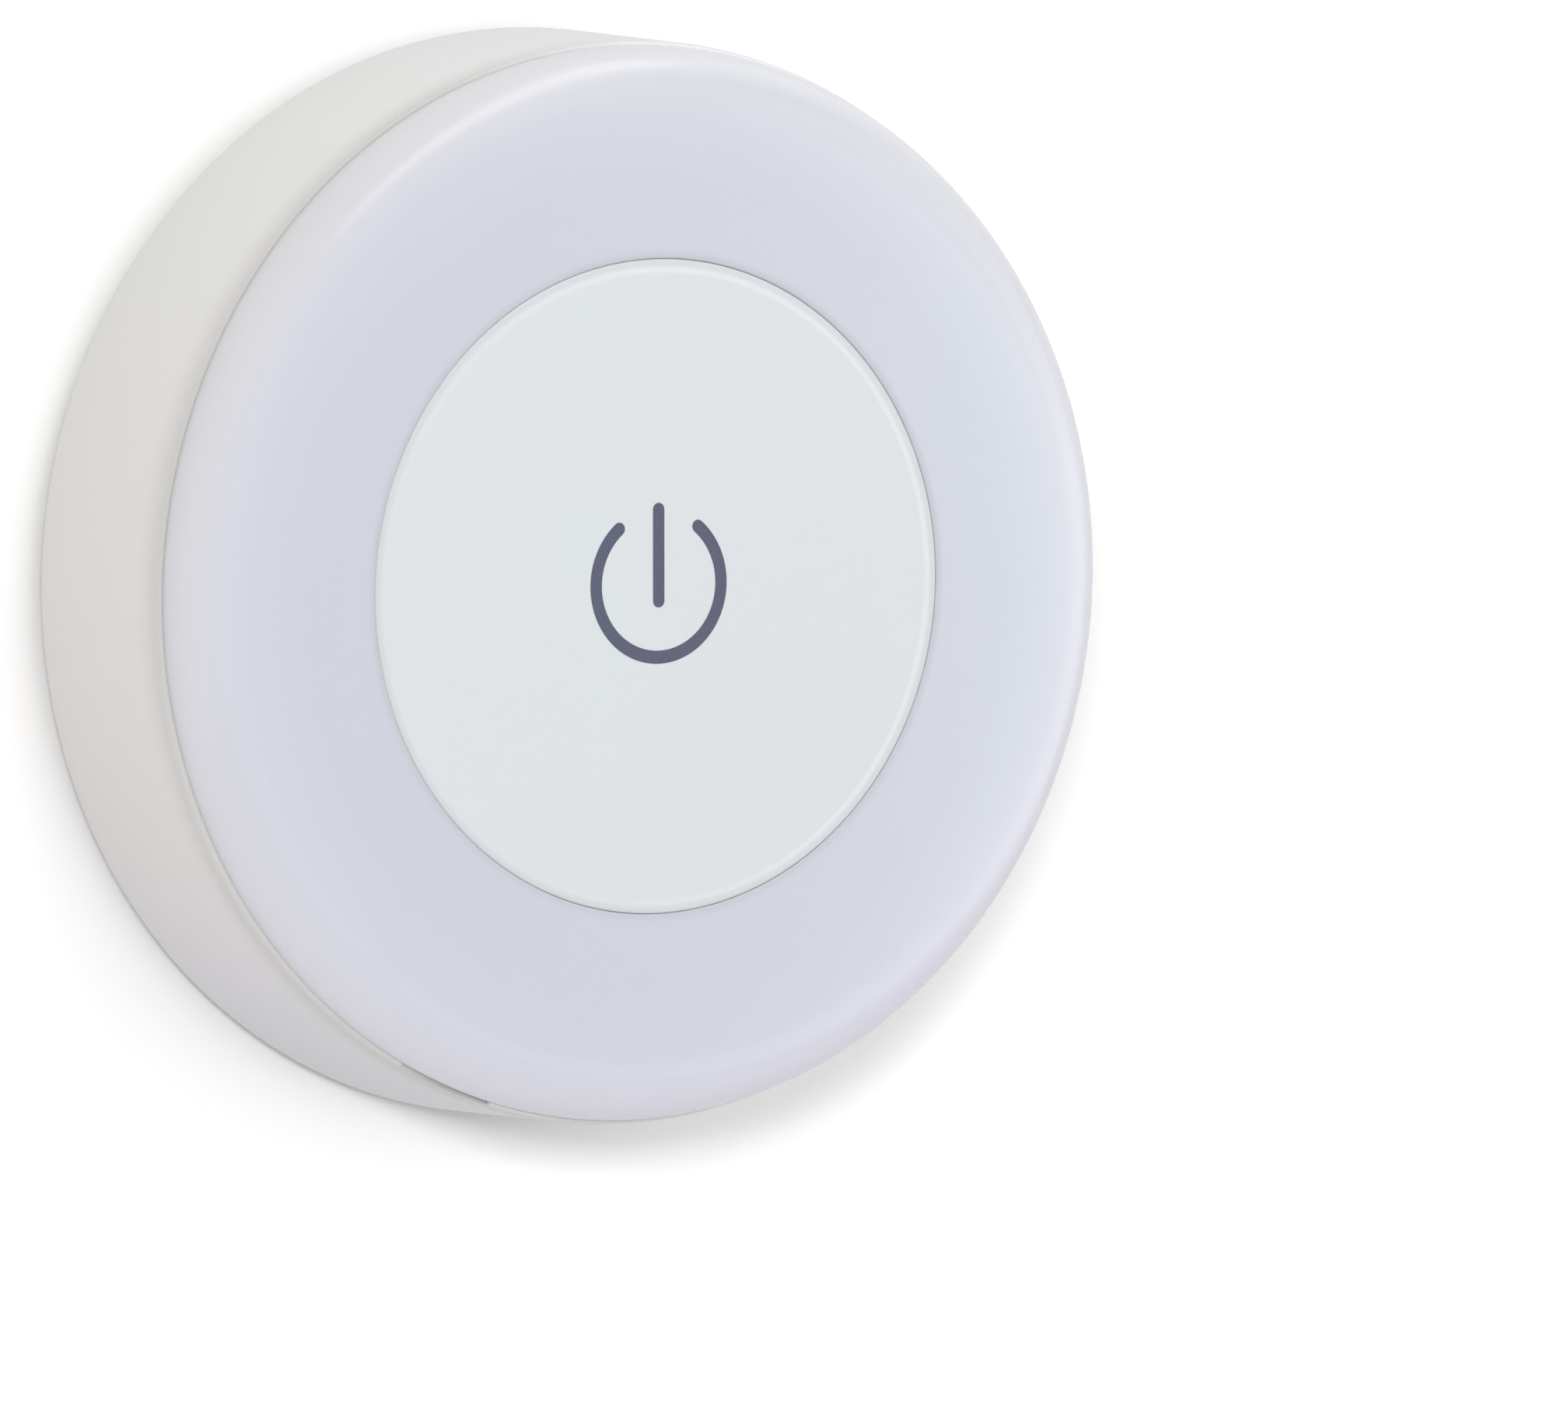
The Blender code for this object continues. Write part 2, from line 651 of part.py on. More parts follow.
def make_cells(parent, surface):
    """Three cells side by side, every second one turned end for end."""
    can_end = CELL_LENGTH - CELL_NUB_HEIGHT
    nub_bevel = CELL_NUB_HEIGHT / 3
    outline = [
        (0.0, 0.0),
        (CELL_RADIUS - CELL_SHOULDER_ROUND, 0.0),
        (CELL_RADIUS, CELL_SHOULDER_ROUND),
        (CELL_RADIUS, can_end - CELL_SHOULDER_ROUND),
        (CELL_RADIUS - CELL_SHOULDER_ROUND, can_end),
        (CELL_NUB_RADIUS, can_end),
        (CELL_NUB_RADIUS, CELL_LENGTH - nub_bevel),
        (CELL_NUB_RADIUS - nub_bevel, CELL_LENGTH),
        (0.0, CELL_LENGTH),
    ]
    for index, place in enumerate(CELL_PLACES):
        side = -1 if index % 2 == 0 else 1
        data = turned_mesh(f"battery_cell_{index + 1}", outline, CELL_SEGMENTS)
        start = side * (CONTACT_INNER - CELL_SPRING_LENGTH - 2 * SEAT_GAP)
        lay_down = Matrix.Rotation(-side * math.pi / 2, 4, "Y")
        data.transform(Matrix.Translation((start, place, CELL_AXIS)) @ lay_down)
        made = add_object(data.name, data, parent, surface)
        smooth(made)


def contact_mesh(name, side, low_place, high_place, tail_place=None):
    """A flat sprung-metal plate against the bay's end wall, with a tail to the board where it has one."""
    low = min(side * CONTACT_INNER, side * CONTACT_OUTER)
    plate = bmesh.new()
    half_width = CONTACT_WIDTH / 2
    half_height = CONTACT_HEIGHT / 2
    corners = [
        (low_place - half_width, CELL_AXIS - half_height),
        (high_place + half_width, CELL_AXIS - half_height),
        (high_place + half_width, CELL_AXIS + half_height),
    ]
    if tail_place is not None:
        tail_front = BOARD_FRONT + TAIL_PROUD
        half_tail = TAIL_WIDTH / 2
        corners += [
            (tail_place + half_tail, CELL_AXIS + half_height),
            (tail_place + half_tail, tail_front),
            (tail_place - half_tail, tail_front),
            (tail_place - half_tail, CELL_AXIS + half_height),
        ]
    corners.append((low_place - half_width, CELL_AXIS + half_height))
    points = [plate.verts.new((low, across, height)) for across, height in corners]
    face = plate.faces.new(points)
    rounded = [points[0], points[1], points[2], points[-1]]
    bmesh.ops.bevel(
        plate, geom=rounded, offset=CONTACT_CORNER, segments=2, profile=0.5, affect="VERTICES"
    )
    grown = bmesh.ops.extrude_face_region(plate, geom=list(plate.faces))
    moved = [item for item in grown["geom"] if isinstance(item, bmesh.types.BMVert)]
    bmesh.ops.translate(plate, verts=moved, vec=(CONTACT_THICKNESS, 0.0, 0.0))
    return mesh_from(name, plate)


def make_contacts(parent, surface):
    first, second, third = CELL_PLACES
    plates = (
        ("contact_minus", -1, first, first, first),
        ("contact_bridge_left", -1, second, third, None),
        ("contact_bridge_right", 1, first, second, None),
        ("contact_plus", 1, third, third, third),
    )
    for name, side, low_place, high_place, tail_place in plates:
        data = contact_mesh(name, side, low_place, high_place, tail_place)
        add_object(name, data, parent, surface)
    for index, place in enumerate(CELL_PLACES):
        side = -1 if index % 2 == 0 else 1
        spring(
            f"cell_spring_{index + 1}",
            (side * (CONTACT_INNER - SEAT_GAP), place, CELL_AXIS),
            (-side, 0.0, 0.0),
            CELL_SPRING_LENGTH,
            (CELL_SPRING_WIDE_RADIUS, CELL_SPRING_NARROW_RADIUS),
            CELL_SPRING_TURNS,
            CELL_SPRING_WIRE,
            parent,
            surface,
        )


def make_circuit_board(parent, surface):
    outline = [
        (0.0, BOARD_BACK),
        (BOARD_RADIUS, BOARD_BACK),
        (BOARD_RADIUS, BOARD_FRONT),
        (0.0, BOARD_FRONT),
    ]
    made = add_object(
        "circuit_board", turned_mesh("circuit_board", outline, MEDIUM_SEGMENTS), parent, surface
    )
    cuts = group_of("board cuts")
    low = BOARD_BACK - CUT_OVERRUN
    high = BOARD_FRONT + CUT_OVERRUN
    for place in SCREW_PLACES:
        hole = rod_mesh(
            "screw hole", SCREW_SHANK_RADIUS + SEAT_GAP, low, high, SMALL_SEGMENTS, place
        )
        helper(hole, cuts, parent)
    for side, place in TAILS:
        helper(tail_slot("board slot", side, place, low, high), cuts, parent)
    combine(made, cuts, "DIFFERENCE")
    smooth(made)


def light_mesh():
    """A flat surface-mounted light with a shallow well in its face."""
    shape = bmesh.new()
    size = (LIGHT_WIDTH, LIGHT_LENGTH, LIGHT_HEIGHT, 1.0)
    lift = Matrix.Translation((0.0, 0.0, LIGHT_HEIGHT / 2))
    bmesh.ops.create_cube(shape, size=1.0, matrix=lift @ Matrix.Diagonal(size))
    top = max(shape.faces, key=lambda face: face.calc_center_median().z)
    bmesh.ops.inset_individual(shape, faces=[top], thickness=LIGHT_FRAME)
    bmesh.ops.translate(shape, verts=top.verts, vec=(0.0, 0.0, -LIGHT_WELL_DEPTH))
    return mesh_from("light", shape)


def make_lights(parent, surface):
    """Lights in a ring on the board, midway between the button's collar and the board's edge."""
    shared = light_mesh()
    shared.materials.append(surface)
    for index in range(LIGHT_COUNT):
        angle = FULL_TURN * index / LIGHT_COUNT
        made = add_object(f"light_{index + 1}", shared, parent)
        across = LIGHT_CIRCLE_RADIUS * math.cos(angle)
        up = LIGHT_CIRCLE_RADIUS * math.sin(angle)
        made.location = (across, up, ON_BOARD)
        made.rotation_euler = (0.0, 0.0, angle)


def make_resistors(parent, surface):
    for index in range(RESISTOR_COUNT):
        angle = FULL_TURN * (index + 0.5) / RESISTOR_COUNT
        low = (-RESISTOR_LENGTH / 2, -RESISTOR_WIDTH / 2, 0.0)
        high = (RESISTOR_LENGTH / 2, RESISTOR_WIDTH / 2, RESISTOR_HEIGHT)
        data = block_mesh(f"resistor_{index + 1}", low, high)
        made = add_object(data.name, data, parent, surface)
        across = RESISTOR_CIRCLE_RADIUS * math.cos(angle)
        up = RESISTOR_CIRCLE_RADIUS * math.sin(angle)
        made.location = (across, up, ON_BOARD)


def make_screws(parent, surface):
    head_front = ON_BOARD + SCREW_HEAD_HEIGHT
    tip = ON_BOARD - SCREW_SHANK_LENGTH
    outline = [
        (0.0, tip),
        (SCREW_SHANK_RADIUS / 3, tip),
        (SCREW_SHANK_RADIUS, tip + SCREW_TIP_LENGTH),
        (SCREW_SHANK_RADIUS, ON_BOARD),
        (SCREW_HEAD_RADIUS, ON_BOARD),
        (SCREW_HEAD_RADIUS, head_front - SCREW_HEAD_ROUND),
        (SCREW_HEAD_RADIUS - SCREW_HEAD_ROUND, head_front),
        (0.0, head_front),
    ]
    shared = turned_mesh("board screw", outline, SMALL_SEGMENTS)
    shared.materials.append(surface)
    for index, place in enumerate(SCREW_PLACES):
        made = add_object(f"board_screw_{index + 1}", shared, parent)
        made.location = (*place, 0.0)
        smooth(made)


def make_switch(parent, surface):
    """A square push switch with a blind bore for its plunger and four flat legs on the board."""
    half = SWITCH_SIDE / 2
    made = add_object(
        "switch_body",
        block_mesh("switch_body", (-half, -half, ON_BOARD), (half, half, SWITCH_FRONT)),
        parent,
        surface,
    )
    bevel = made.modifiers.new("bevel", "BEVEL")
    bevel.width = SWITCH_BEVEL
    bevel.segments = 2
    legs = group_of("switch legs")
    for side in (-1, 1):
        for place in (-SWITCH_LEG_SPACING / 2, SWITCH_LEG_SPACING / 2):
            inner = side * (half - SWITCH_BEVEL * 2)
            outer = side * (half + SWITCH_LEG_REACH)
            leg = block_mesh(
                "switch leg",
                (min(inner, outer), place - SWITCH_LEG_WIDTH / 2, ON_BOARD + WELD_DISTANCE),
                (max(inner, outer), place + SWITCH_LEG_WIDTH / 2, ON_BOARD + SWITCH_LEG_HEIGHT),
            )
            helper(leg, legs, parent)
    combine(made, legs, "UNION")
    cuts = group_of("switch cuts")
    bore = rod_mesh(
        "plunger bore",
        PLUNGER_RADIUS + SEAT_GAP,
        ON_BOARD + SWITCH_FLOOR,
        SWITCH_FRONT + CUT_OVERRUN,
        SMALL_SEGMENTS,
    )
    helper(bore, cuts, parent)
    combine(made, cuts, "DIFFERENCE")


def make_diffuser(parent, surface):
    """The milky ring: flat face, full round edge, a skirt in the housing and a collar for the button."""
    edge_centre = (DIFFUSER_RADIUS - EDGE_ROUND, FLANGE_BACK)
    corner_centre = (SKIRT_INNER - INNER_ROUND, FACE_BACK - INNER_ROUND)
    bore_centre = (COLLAR_INNER + INNER_EDGE_ROUND, FACE_FRONT - INNER_EDGE_ROUND)
    quarter = math.pi / 2
    outline = [
        *arc_points(edge_centre, EDGE_ROUND, quarter, 0.0, EDGE_STEPS),
        (SKIRT_OUTER, FLANGE_BACK),
        (SKIRT_OUTER, SKIRT_BACK),
        (SKIRT_INNER, SKIRT_BACK),
        *arc_points(corner_centre, INNER_ROUND, 0.0, quarter, ROUND_STEPS),
        (COLLAR_OUTER, FACE_BACK),
        (COLLAR_OUTER, COLLAR_BACK),
        (COLLAR_INNER, COLLAR_BACK),
        *arc_points(bore_centre, INNER_EDGE_ROUND, math.pi, quarter, ROUND_STEPS),
    ]
    made = add_object("diffuser", turned_mesh("diffuser", outline, LARGE_SEGMENTS), parent, surface)
    snaps = group_of("diffuser snaps")
    for index in range(SNAP_COUNT):
        middle = FULL_TURN * (index + 0.5) / SNAP_COUNT
        snap = arc_block_mesh(
            "skirt snap",
            SKIRT_OUTER - JOIN_DEPTH,
            SKIRT_OUTER + SNAP_REACH,
            SNAP_BACK,
            SNAP_FRONT,
            middle - SNAP_ARC / 2,
            middle + SNAP_ARC / 2,
        )
        helper(snap, snaps, parent)
    combine(made, snaps, "UNION")
    smooth(made)


def make_button(parent, surface):
    """The cap with a bevelled rim, a spring seat and ribs behind it, and legs that hook the collar."""
    seat_inner = BUTTON_SPRING_RADIUS + BUTTON_SPRING_WIRE / 2 + SEAT_GAP
    seat_outer = seat_inner + SPRING_SEAT_WALL
    rim_inner = BUTTON_RADIUS - CAP_WALL
    rim_back = CAP_BACK - CAP_RIM_DEPTH
    outline = [
        (0.0, CAP_BOSS_BACK),
        (CAP_BOSS_RADIUS, CAP_BOSS_BACK),
        (CAP_BOSS_RADIUS, CAP_BACK),
        (seat_inner, CAP_BACK),
        (seat_inner, CAP_BACK - SPRING_SEAT_HEIGHT),
        (seat_outer, CAP_BACK - SPRING_SEAT_HEIGHT),
        (seat_outer, CAP_BACK),
        (rim_inner, CAP_BACK),
        (rim_inner, rim_back),
        (BUTTON_RADIUS, rim_back),
        (BUTTON_RADIUS, FACE_FRONT - CAP_BEVEL),
        (BUTTON_RADIUS - CAP_BEVEL, FACE_FRONT),
        (0.0, FACE_FRONT),
    ]
    made = add_object("button_cap", turned_mesh("button_cap", outline, LARGE_SEGMENTS), parent, surface)
    added = group_of("button legs and ribs")
    for index in range(LEG_COUNT):
        middle = FULL_TURN * index / LEG_COUNT
        start = middle - LEG_ARC / 2
        end = middle + LEG_ARC / 2
        inner = rim_inner + WELD_DISTANCE
        outer = BUTTON_RADIUS - WELD_DISTANCE
        leg = arc_block_mesh("button leg", inner, outer, LEG_BACK, rim_back + JOIN_DEPTH, start, end)
        helper(leg, added, parent)
        hook = arc_block_mesh(
            "leg hook", outer - JOIN_DEPTH, BUTTON_RADIUS + HOOK_REACH, LEG_BACK, HOOK_FRONT, start, end
        )
        helper(hook, added, parent)
    for index in range(CAP_RIB_COUNT):
        angle = FULL_TURN * (index + 0.5) / CAP_RIB_COUNT
        start = seat_outer - SPRING_SEAT_WALL / 2
        end = rim_inner + CAP_WALL / 2
        data = block_mesh(
            "cap rib",
            (start, -RIB_THICKNESS / 2, CAP_BACK - CAP_RIB_HEIGHT + WELD_DISTANCE),
            (end, RIB_THICKNESS / 2, CAP_BACK + JOIN_DEPTH),
        )
        data.transform(Matrix.Rotation(angle, 4, "Z"))
        helper(data, added, parent)
    combine(made, added, "UNION")
    smooth(made)


def make_plunger(parent, surface):
    data = rod_mesh("switch_plunger", PLUNGER_RADIUS, PLUNGER_BACK, PLUNGER_FRONT, SMALL_SEGMENTS)
    made = add_object("switch_plunger", data, parent, surface)
    smooth(made)


def make_button_spring(parent, surface):
    spring(
        "button_spring",
        (0.0, 0.0, ON_BOARD),
        (0.0, 0.0, 1.0),
        CAP_BACK - SEAT_GAP - ON_BOARD,
        (BUTTON_SPRING_RADIUS, BUTTON_SPRING_RADIUS),
        BUTTON_SPRING_TURNS,
        BUTTON_SPRING_WIRE,
        parent,
        surface,
    )


def build():
    clear_scene()
    housing_white = material("housing white", (0.72, 0.70, 0.67), 0.45)
    cover_white = material("cover white", (0.76, 0.76, 0.75), 0.5)
    milky = material("milky diffuser", (0.76, 0.78, 0.84), 0.3)
    button_white = material("button white", (0.80, 0.82, 0.82), 0.35)
    foam = material("grey foam", (0.62, 0.62, 0.60), 0.95)
    board_white = material("board white", (0.82, 0.84, 0.82), 0.4)
    plated_steel = material("plated steel", (0.70, 0.70, 0.68), 0.3, 1.0)
    dark_plastic = material("dark plastic", (0.05, 0.05, 0.05), 0.5)
    light_face = material("light face", (0.90, 0.85, 0.55), 0.4)
    cell_sleeve = material("cell sleeve", (0.22, 0.24, 0.27), 0.35)

    wall_frame = frame("wall_frame", turn=(math.pi / 2, 0.0, 0.0))
    lamp_frame = frame("lamp_twist_frame", wall_frame)
    button_frame = frame("button_press_frame", lamp_frame)

    make_foam_pad(wall_frame, foam)
    make_back_cover(wall_frame, cover_white)
    make_housing(lamp_frame, housing_white)
    make_cells(lamp_frame, cell_sleeve)
    make_contacts(lamp_frame, plated_steel)
    make_circuit_board(lamp_frame, board_white)
    make_lights(lamp_frame, light_face)
    make_resistors(lamp_frame, dark_plastic)
    make_screws(lamp_frame, plated_steel)
    make_switch(lamp_frame, dark_plastic)
    make_button_spring(lamp_frame, plated_steel)
    make_diffuser(lamp_frame, milky)
    make_button(button_frame, button_white)
    make_plunger(button_frame, board_white)


build()
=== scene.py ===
"""Looks of the round battery night light: a milky ring round a large push button, on a wall."""

import math

import bpy
from mathutils import Matrix, Vector


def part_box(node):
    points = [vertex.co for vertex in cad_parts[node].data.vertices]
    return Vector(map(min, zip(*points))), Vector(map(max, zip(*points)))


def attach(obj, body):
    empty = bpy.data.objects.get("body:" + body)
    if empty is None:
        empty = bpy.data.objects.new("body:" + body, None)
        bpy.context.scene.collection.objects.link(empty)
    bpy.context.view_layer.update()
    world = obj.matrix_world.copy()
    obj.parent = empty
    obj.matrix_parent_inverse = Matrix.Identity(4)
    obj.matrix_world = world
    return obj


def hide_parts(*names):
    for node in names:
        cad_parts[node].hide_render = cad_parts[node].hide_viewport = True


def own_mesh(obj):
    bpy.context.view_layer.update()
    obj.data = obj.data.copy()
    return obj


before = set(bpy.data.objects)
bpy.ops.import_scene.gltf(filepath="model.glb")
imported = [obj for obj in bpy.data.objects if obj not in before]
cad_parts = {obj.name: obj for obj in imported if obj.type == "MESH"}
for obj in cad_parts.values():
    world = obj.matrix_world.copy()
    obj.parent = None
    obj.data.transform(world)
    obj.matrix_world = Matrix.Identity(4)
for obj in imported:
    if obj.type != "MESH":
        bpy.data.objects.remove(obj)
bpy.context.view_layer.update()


# Camera
# The lamp is seen from its left and a little from above, through a long lens, so it hardly narrows
# with distance. The camera aims beside the lamp, which leaves it in the upper left of the picture.
MM = 0.001
PHOTO_SIZE = Vector((2016, 1824))
BUTTON_CENTRE_PIXEL = Vector((847.1, 754.0))
PIXELS_PER_METRE = 16480
CAMERA_AZIMUTH = math.radians(-31.3)
CAMERA_ELEVATION = math.radians(3.9)
CAMERA_DISTANCE = 1276 * MM
SENSOR_WIDTH_MM = 36


def put(name, data):
    """A new object in the scene."""
    made = bpy.data.objects.new(name, data)
    bpy.context.scene.collection.objects.link(made)
    return made


button_centre = Vector((0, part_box("button_cap")[0].y, 0))
to_camera = Vector(
    (
        math.sin(CAMERA_AZIMUTH) * math.cos(CAMERA_ELEVATION),
        -math.cos(CAMERA_AZIMUTH) * math.cos(CAMERA_ELEVATION),
        math.sin(CAMERA_ELEVATION),
    )
)
image_right = Vector((math.cos(CAMERA_AZIMUTH), math.sin(CAMERA_AZIMUTH), 0))
image_up = to_camera.cross(image_right)
off_centre = (PHOTO_SIZE / 2 - BUTTON_CENTRE_PIXEL) / PIXELS_PER_METRE
aim = button_centre + image_right * off_centre.x - image_up * off_centre.y
camera_data = bpy.data.cameras.new("camera")
camera_data.sensor_width = SENSOR_WIDTH_MM
camera_data.lens = SENSOR_WIDTH_MM * CAMERA_DISTANCE * PIXELS_PER_METRE / PHOTO_SIZE.x
camera_data.clip_start = CAMERA_DISTANCE / 100
camera_data.clip_end = CAMERA_DISTANCE * 10
camera = put("camera", camera_data)
camera.location = button_centre + to_camera * CAMERA_DISTANCE
camera.rotation_euler = (camera.location - aim).to_track_quat("Z", "Y").to_euler()
bpy.context.scene.camera = camera
bpy.context.scene.view_settings.view_transform = "Standard"


# Wall and studio light
# A pale wall and floor joined by a cove, seen only from in front and open behind the lamp, so that
# its back is lit too. A soft lamp in front throws the thin shadow, one on the right lifts that
# side, and a long strip overhead draws the streak along the ring's rounded edge. Near the lamp
# the wall also carries painted shade: ambient occlusion darkens its colour as the camera sees it.
WALL_GAP = 0.2 * MM
WALL_REACH = 1200 * MM
FLOOR_DROP = 600 * MM
QUARTER_TURN = math.pi / 2
COVE_RADIUS = 200 * MM
COVE_STEPS = 12
WALL_COLOUR = (0.80, 0.80, 0.80, 1)
WALL_SEEN_COLOUR = (1.13, 1.13, 1.13, 1)
# Painted contact shade: the wall's colour where ambient occlusion finds the lamp close by.
CONTACT_SHADE_COLOUR = (0.87, 0.87, 0.87, 1)
CONTACT_REACH = 7 * MM
CONTACT_SAMPLES = 8
WALL_OPENING = 36 * MM
WHITE = (1, 1, 1, 1)
WHITE_START = 120 * MM
WHITE_END = 200 * MM
SURROUND_STRENGTH = 0.495
FRONT_PLACE = Vector((-615, -970, 219)) * MM
FRONT_SIZE = Vector((230, 160)) * MM
FRONT_WATTS = 5.1
RIGHT_PLACE = Vector((850, -500, 60)) * MM
RIGHT_SIZE = Vector((700, 900)) * MM
RIGHT_WATTS = 1.9
STRIP_START = Vector((-112, -539, 434)) * MM
STRIP_END = Vector((310, -40, 570)) * MM
STRIP_WIDTH = 180 * MM
STRIP_WATTS = 0.8


class Link:
    """A socket of a node tree. Sums on it add Math nodes, and node() adds a node of any kind."""

    def __init__(self, tree, socket=None):
        self.tree = tree
        self.socket = socket

    def node(self, kind, settings=(), sockets=(), output=0):
        made = self.tree.nodes.new(kind)
        for name, value in dict(settings).items():
            setattr(made, name, value)
        for name, value in dict(sockets).items():
            if isinstance(value, Link):
                self.tree.links.new(value.socket, made.inputs[name])
            else:
                made.inputs[name].default_value = value
        return Link(self.tree, made.outputs[output] if made.outputs else None)

    def output(self, name):
        return Link(self.tree, self.socket.node.outputs[name])

    def maths(self, operation, first, second=0.0):
        return self.node("ShaderNodeMath", {"operation": operation}, {0: first, 1: second})

    def root(self):
        return self.maths("SQRT", self)

    def size(self):
        return self.maths("ABSOLUTE", self)

    def ramp(self, low, high):
        """0 where the value is low, 1 where it is high, and a straight rise between."""
        sockets = {"Value": self, "From Min": low, "From Max": high, "To Min": 0.0, "To Max": 1.0}
        return self.node("ShaderNodeMapRange", {"clamp": True}, sockets)

    def between(self, first, second):
        """The first colour where the value is 0, the second where it is 1."""
        return self.node("ShaderNodeMix", {"data_type": "RGBA"}, {0: self, 6: first, 7: second}, 2)

    def shade(self, first, second):
        """The first shader where the value is 0, the second where it is 1."""
        return self.node("ShaderNodeMixShader", (), {0: self, 1: first, 2: second})

    def __add__(self, other):
        return self.maths("ADD", self, other)

    def __sub__(self, other):
        return self.maths("SUBTRACT", self, other)

    def __rsub__(self, other):
        return self.maths("SUBTRACT", other, self)

    def __mul__(self, other):
        return self.maths("MULTIPLY", self, other)

    def __truediv__(self, other):
        return self.maths("DIVIDE", self, other)

    __radd__ = __add__
    __rmul__ = __mul__


def blank_tree(owner):
    """The emptied node tree of a material or a world."""
    owner.use_nodes = True
    owner.node_tree.nodes.clear()
    return Link(owner.node_tree)


def edit(kind="VERT", action="SELECT"):
    """Goes into edit mode with everything selected, or nothing."""
    bpy.ops.object.mode_set(mode="EDIT")
    bpy.ops.mesh.select_mode(type=kind)
    bpy.ops.mesh.select_all(action=action)


def leave():
    bpy.ops.object.mode_set(mode="OBJECT")


def stretch(*step):
    """Extrudes what is selected by a step."""
    bpy.ops.mesh.extrude_region_move(TRANSFORM_OT_translate={"value": Vector(step)})


def draw(name, points):
    """A new mesh with one line of edges through the points, left in edit mode."""
    bpy.ops.object.select_all(action="DESELECT")
    bpy.ops.mesh.primitive_plane_add(size=MM, location=(0, 0, 0))
    made = bpy.context.object
    made.name = name
    edit()
    bpy.ops.mesh.merge(type="CENTER")
    bpy.ops.transform.translate(value=points[0])
    for last, point in zip(points, points[1:]):
        stretch(*(Vector(point) - Vector(last)))
    bpy.ops.mesh.select_all(action="SELECT")
    return made


def arc(centre, radius, start, end, steps):
    """Points of an arc in an outline, with both its ends."""
    angles = [start + (end - start) * step / steps for step in range(steps + 1)]
    return [
        (centre[0] + radius * math.cos(angle), centre[1] + radius * math.sin(angle))
        for angle in angles
    ]


cove_centre = (WALL_GAP - COVE_RADIUS, COVE_RADIUS - FLOOR_DROP)
side_view = [
    (WALL_GAP - 2 * WALL_REACH, -FLOOR_DROP),
    *arc(cove_centre, COVE_RADIUS, -QUARTER_TURN, 0, COVE_STEPS),
    (WALL_GAP, 2 * WALL_REACH - FLOOR_DROP),
]
backdrop = draw("backdrop", [(-WALL_REACH, back, up) for back, up in side_view])
stretch(2 * WALL_REACH, 0, 0)
bpy.ops.mesh.select_all(action="SELECT")
bpy.ops.mesh.normals_make_consistent(inside=False)
leave()
if backdrop.data.polygons[0].normal.z - backdrop.data.polygons[0].normal.y < 0:
    backdrop.data.flip_normals()
bpy.ops.object.shade_smooth()
backdrop_paint = bpy.data.materials.new("backdrop paint")
nodes = blank_tree(backdrop_paint)
seen = nodes.node("ShaderNodeLightPath", output="Is Camera Ray")
behind = nodes.node("ShaderNodeNewGeometry", output="Backfacing")
place = nodes.node("ShaderNodeTexCoord").output("Object")
distance = nodes.node("ShaderNodeVectorMath", {"operation": "LENGTH"}, {0: place}).output("Value")
# Painted shade: ambient occlusion near the lamp darkens the wall's colour for camera rays.
free = nodes.node(
    "ShaderNodeAmbientOcclusion", {"samples": CONTACT_SAMPLES}, {"Distance": CONTACT_REACH}
).output("AO")
seen_colour = free.between(CONTACT_SHADE_COLOUR, WALL_SEEN_COLOUR)
plain_paint = nodes.node("ShaderNodeBsdfDiffuse", (), {"Color": WALL_COLOUR})
seen_paint = nodes.node("ShaderNodeBsdfDiffuse", (), {"Color": seen_colour})
paint = seen.shade(plain_paint, seen_paint)
white = nodes.node("ShaderNodeEmission", (), {"Color": WHITE, "Strength": 1.0})
front = (distance.ramp(WHITE_START, WHITE_END) * seen).shade(paint, white)
clear = nodes.node("ShaderNodeBsdfTransparent")
opening = distance.maths("LESS_THAN", distance, WALL_OPENING)
see_through = behind.maths("MAXIMUM", behind, opening)
nodes.node("ShaderNodeOutputMaterial", (), {"Surface": see_through.shade(front, clear)})
backdrop.data.materials.append(backdrop_paint)
world = bpy.data.worlds.new("studio")
bpy.context.scene.world = world
nodes = blank_tree(world)
path = nodes.node("ShaderNodeLightPath")
seen = path.output("Is Camera Ray") + path.output("Is Glossy Ray")
seen = seen + path.output("Is Transmission Ray")
even = nodes.node("ShaderNodeBackground", (), {"Color": WHITE, "Strength": SURROUND_STRENGTH})
white = nodes.node("ShaderNodeBackground", (), {"Color": WHITE, "Strength": 1.0})
nodes.node("ShaderNodeOutputWorld", (), {"Surface": seen.shade(even, white)})


def soft_lamp(name, place, size, watts, along=None):
    """A soft lamp that faces the night light. A strip's length lies along the given direction."""
    data = bpy.data.lights.new(name, "AREA")
    data.shape = "RECTANGLE"
    data.size, data.size_y = size
    data.energy = watts
    made = put(name, data)
    facing = (place - button_centre).normalized()
    if along is None:
        turn = facing.to_track_quat("Z", "Y")
    else:
        facing = (facing - along * facing.dot(along)).normalized()
        turn = Matrix((along, facing.cross(along), facing)).transposed()
    made.location = place
    made.rotation_euler = turn.to_euler()
    return made


front_lamp = soft_lamp("front lamp", FRONT_PLACE, FRONT_SIZE, FRONT_WATTS)
front_lamp.visible_glossy = False
soft_lamp("right lamp", RIGHT_PLACE, RIGHT_SIZE, RIGHT_WATTS)
strip = STRIP_END - STRIP_START
strip_middle = (STRIP_START + STRIP_END) / 2
soft_lamp("strip", strip_middle, (strip.length, STRIP_WIDTH), STRIP_WATTS, strip.normalized())


# Foam pad
# A disc of closed-cell foam, die-cut, with a film of glue on both faces. It sticks the lamp to the
# wall and sits in a shallow pocket of the back cover.
FULL_TURN = 2 * math.pi
WELD = 0.001 * MM
TURNED_STEPS = 192
SMOOTH_BELOW = math.radians(32)
PAD_EDGE_BULGE = 0.12 * MM
GLUE_FILM = 0.06 * MM
FOAM_CELL = 0.35 * MM


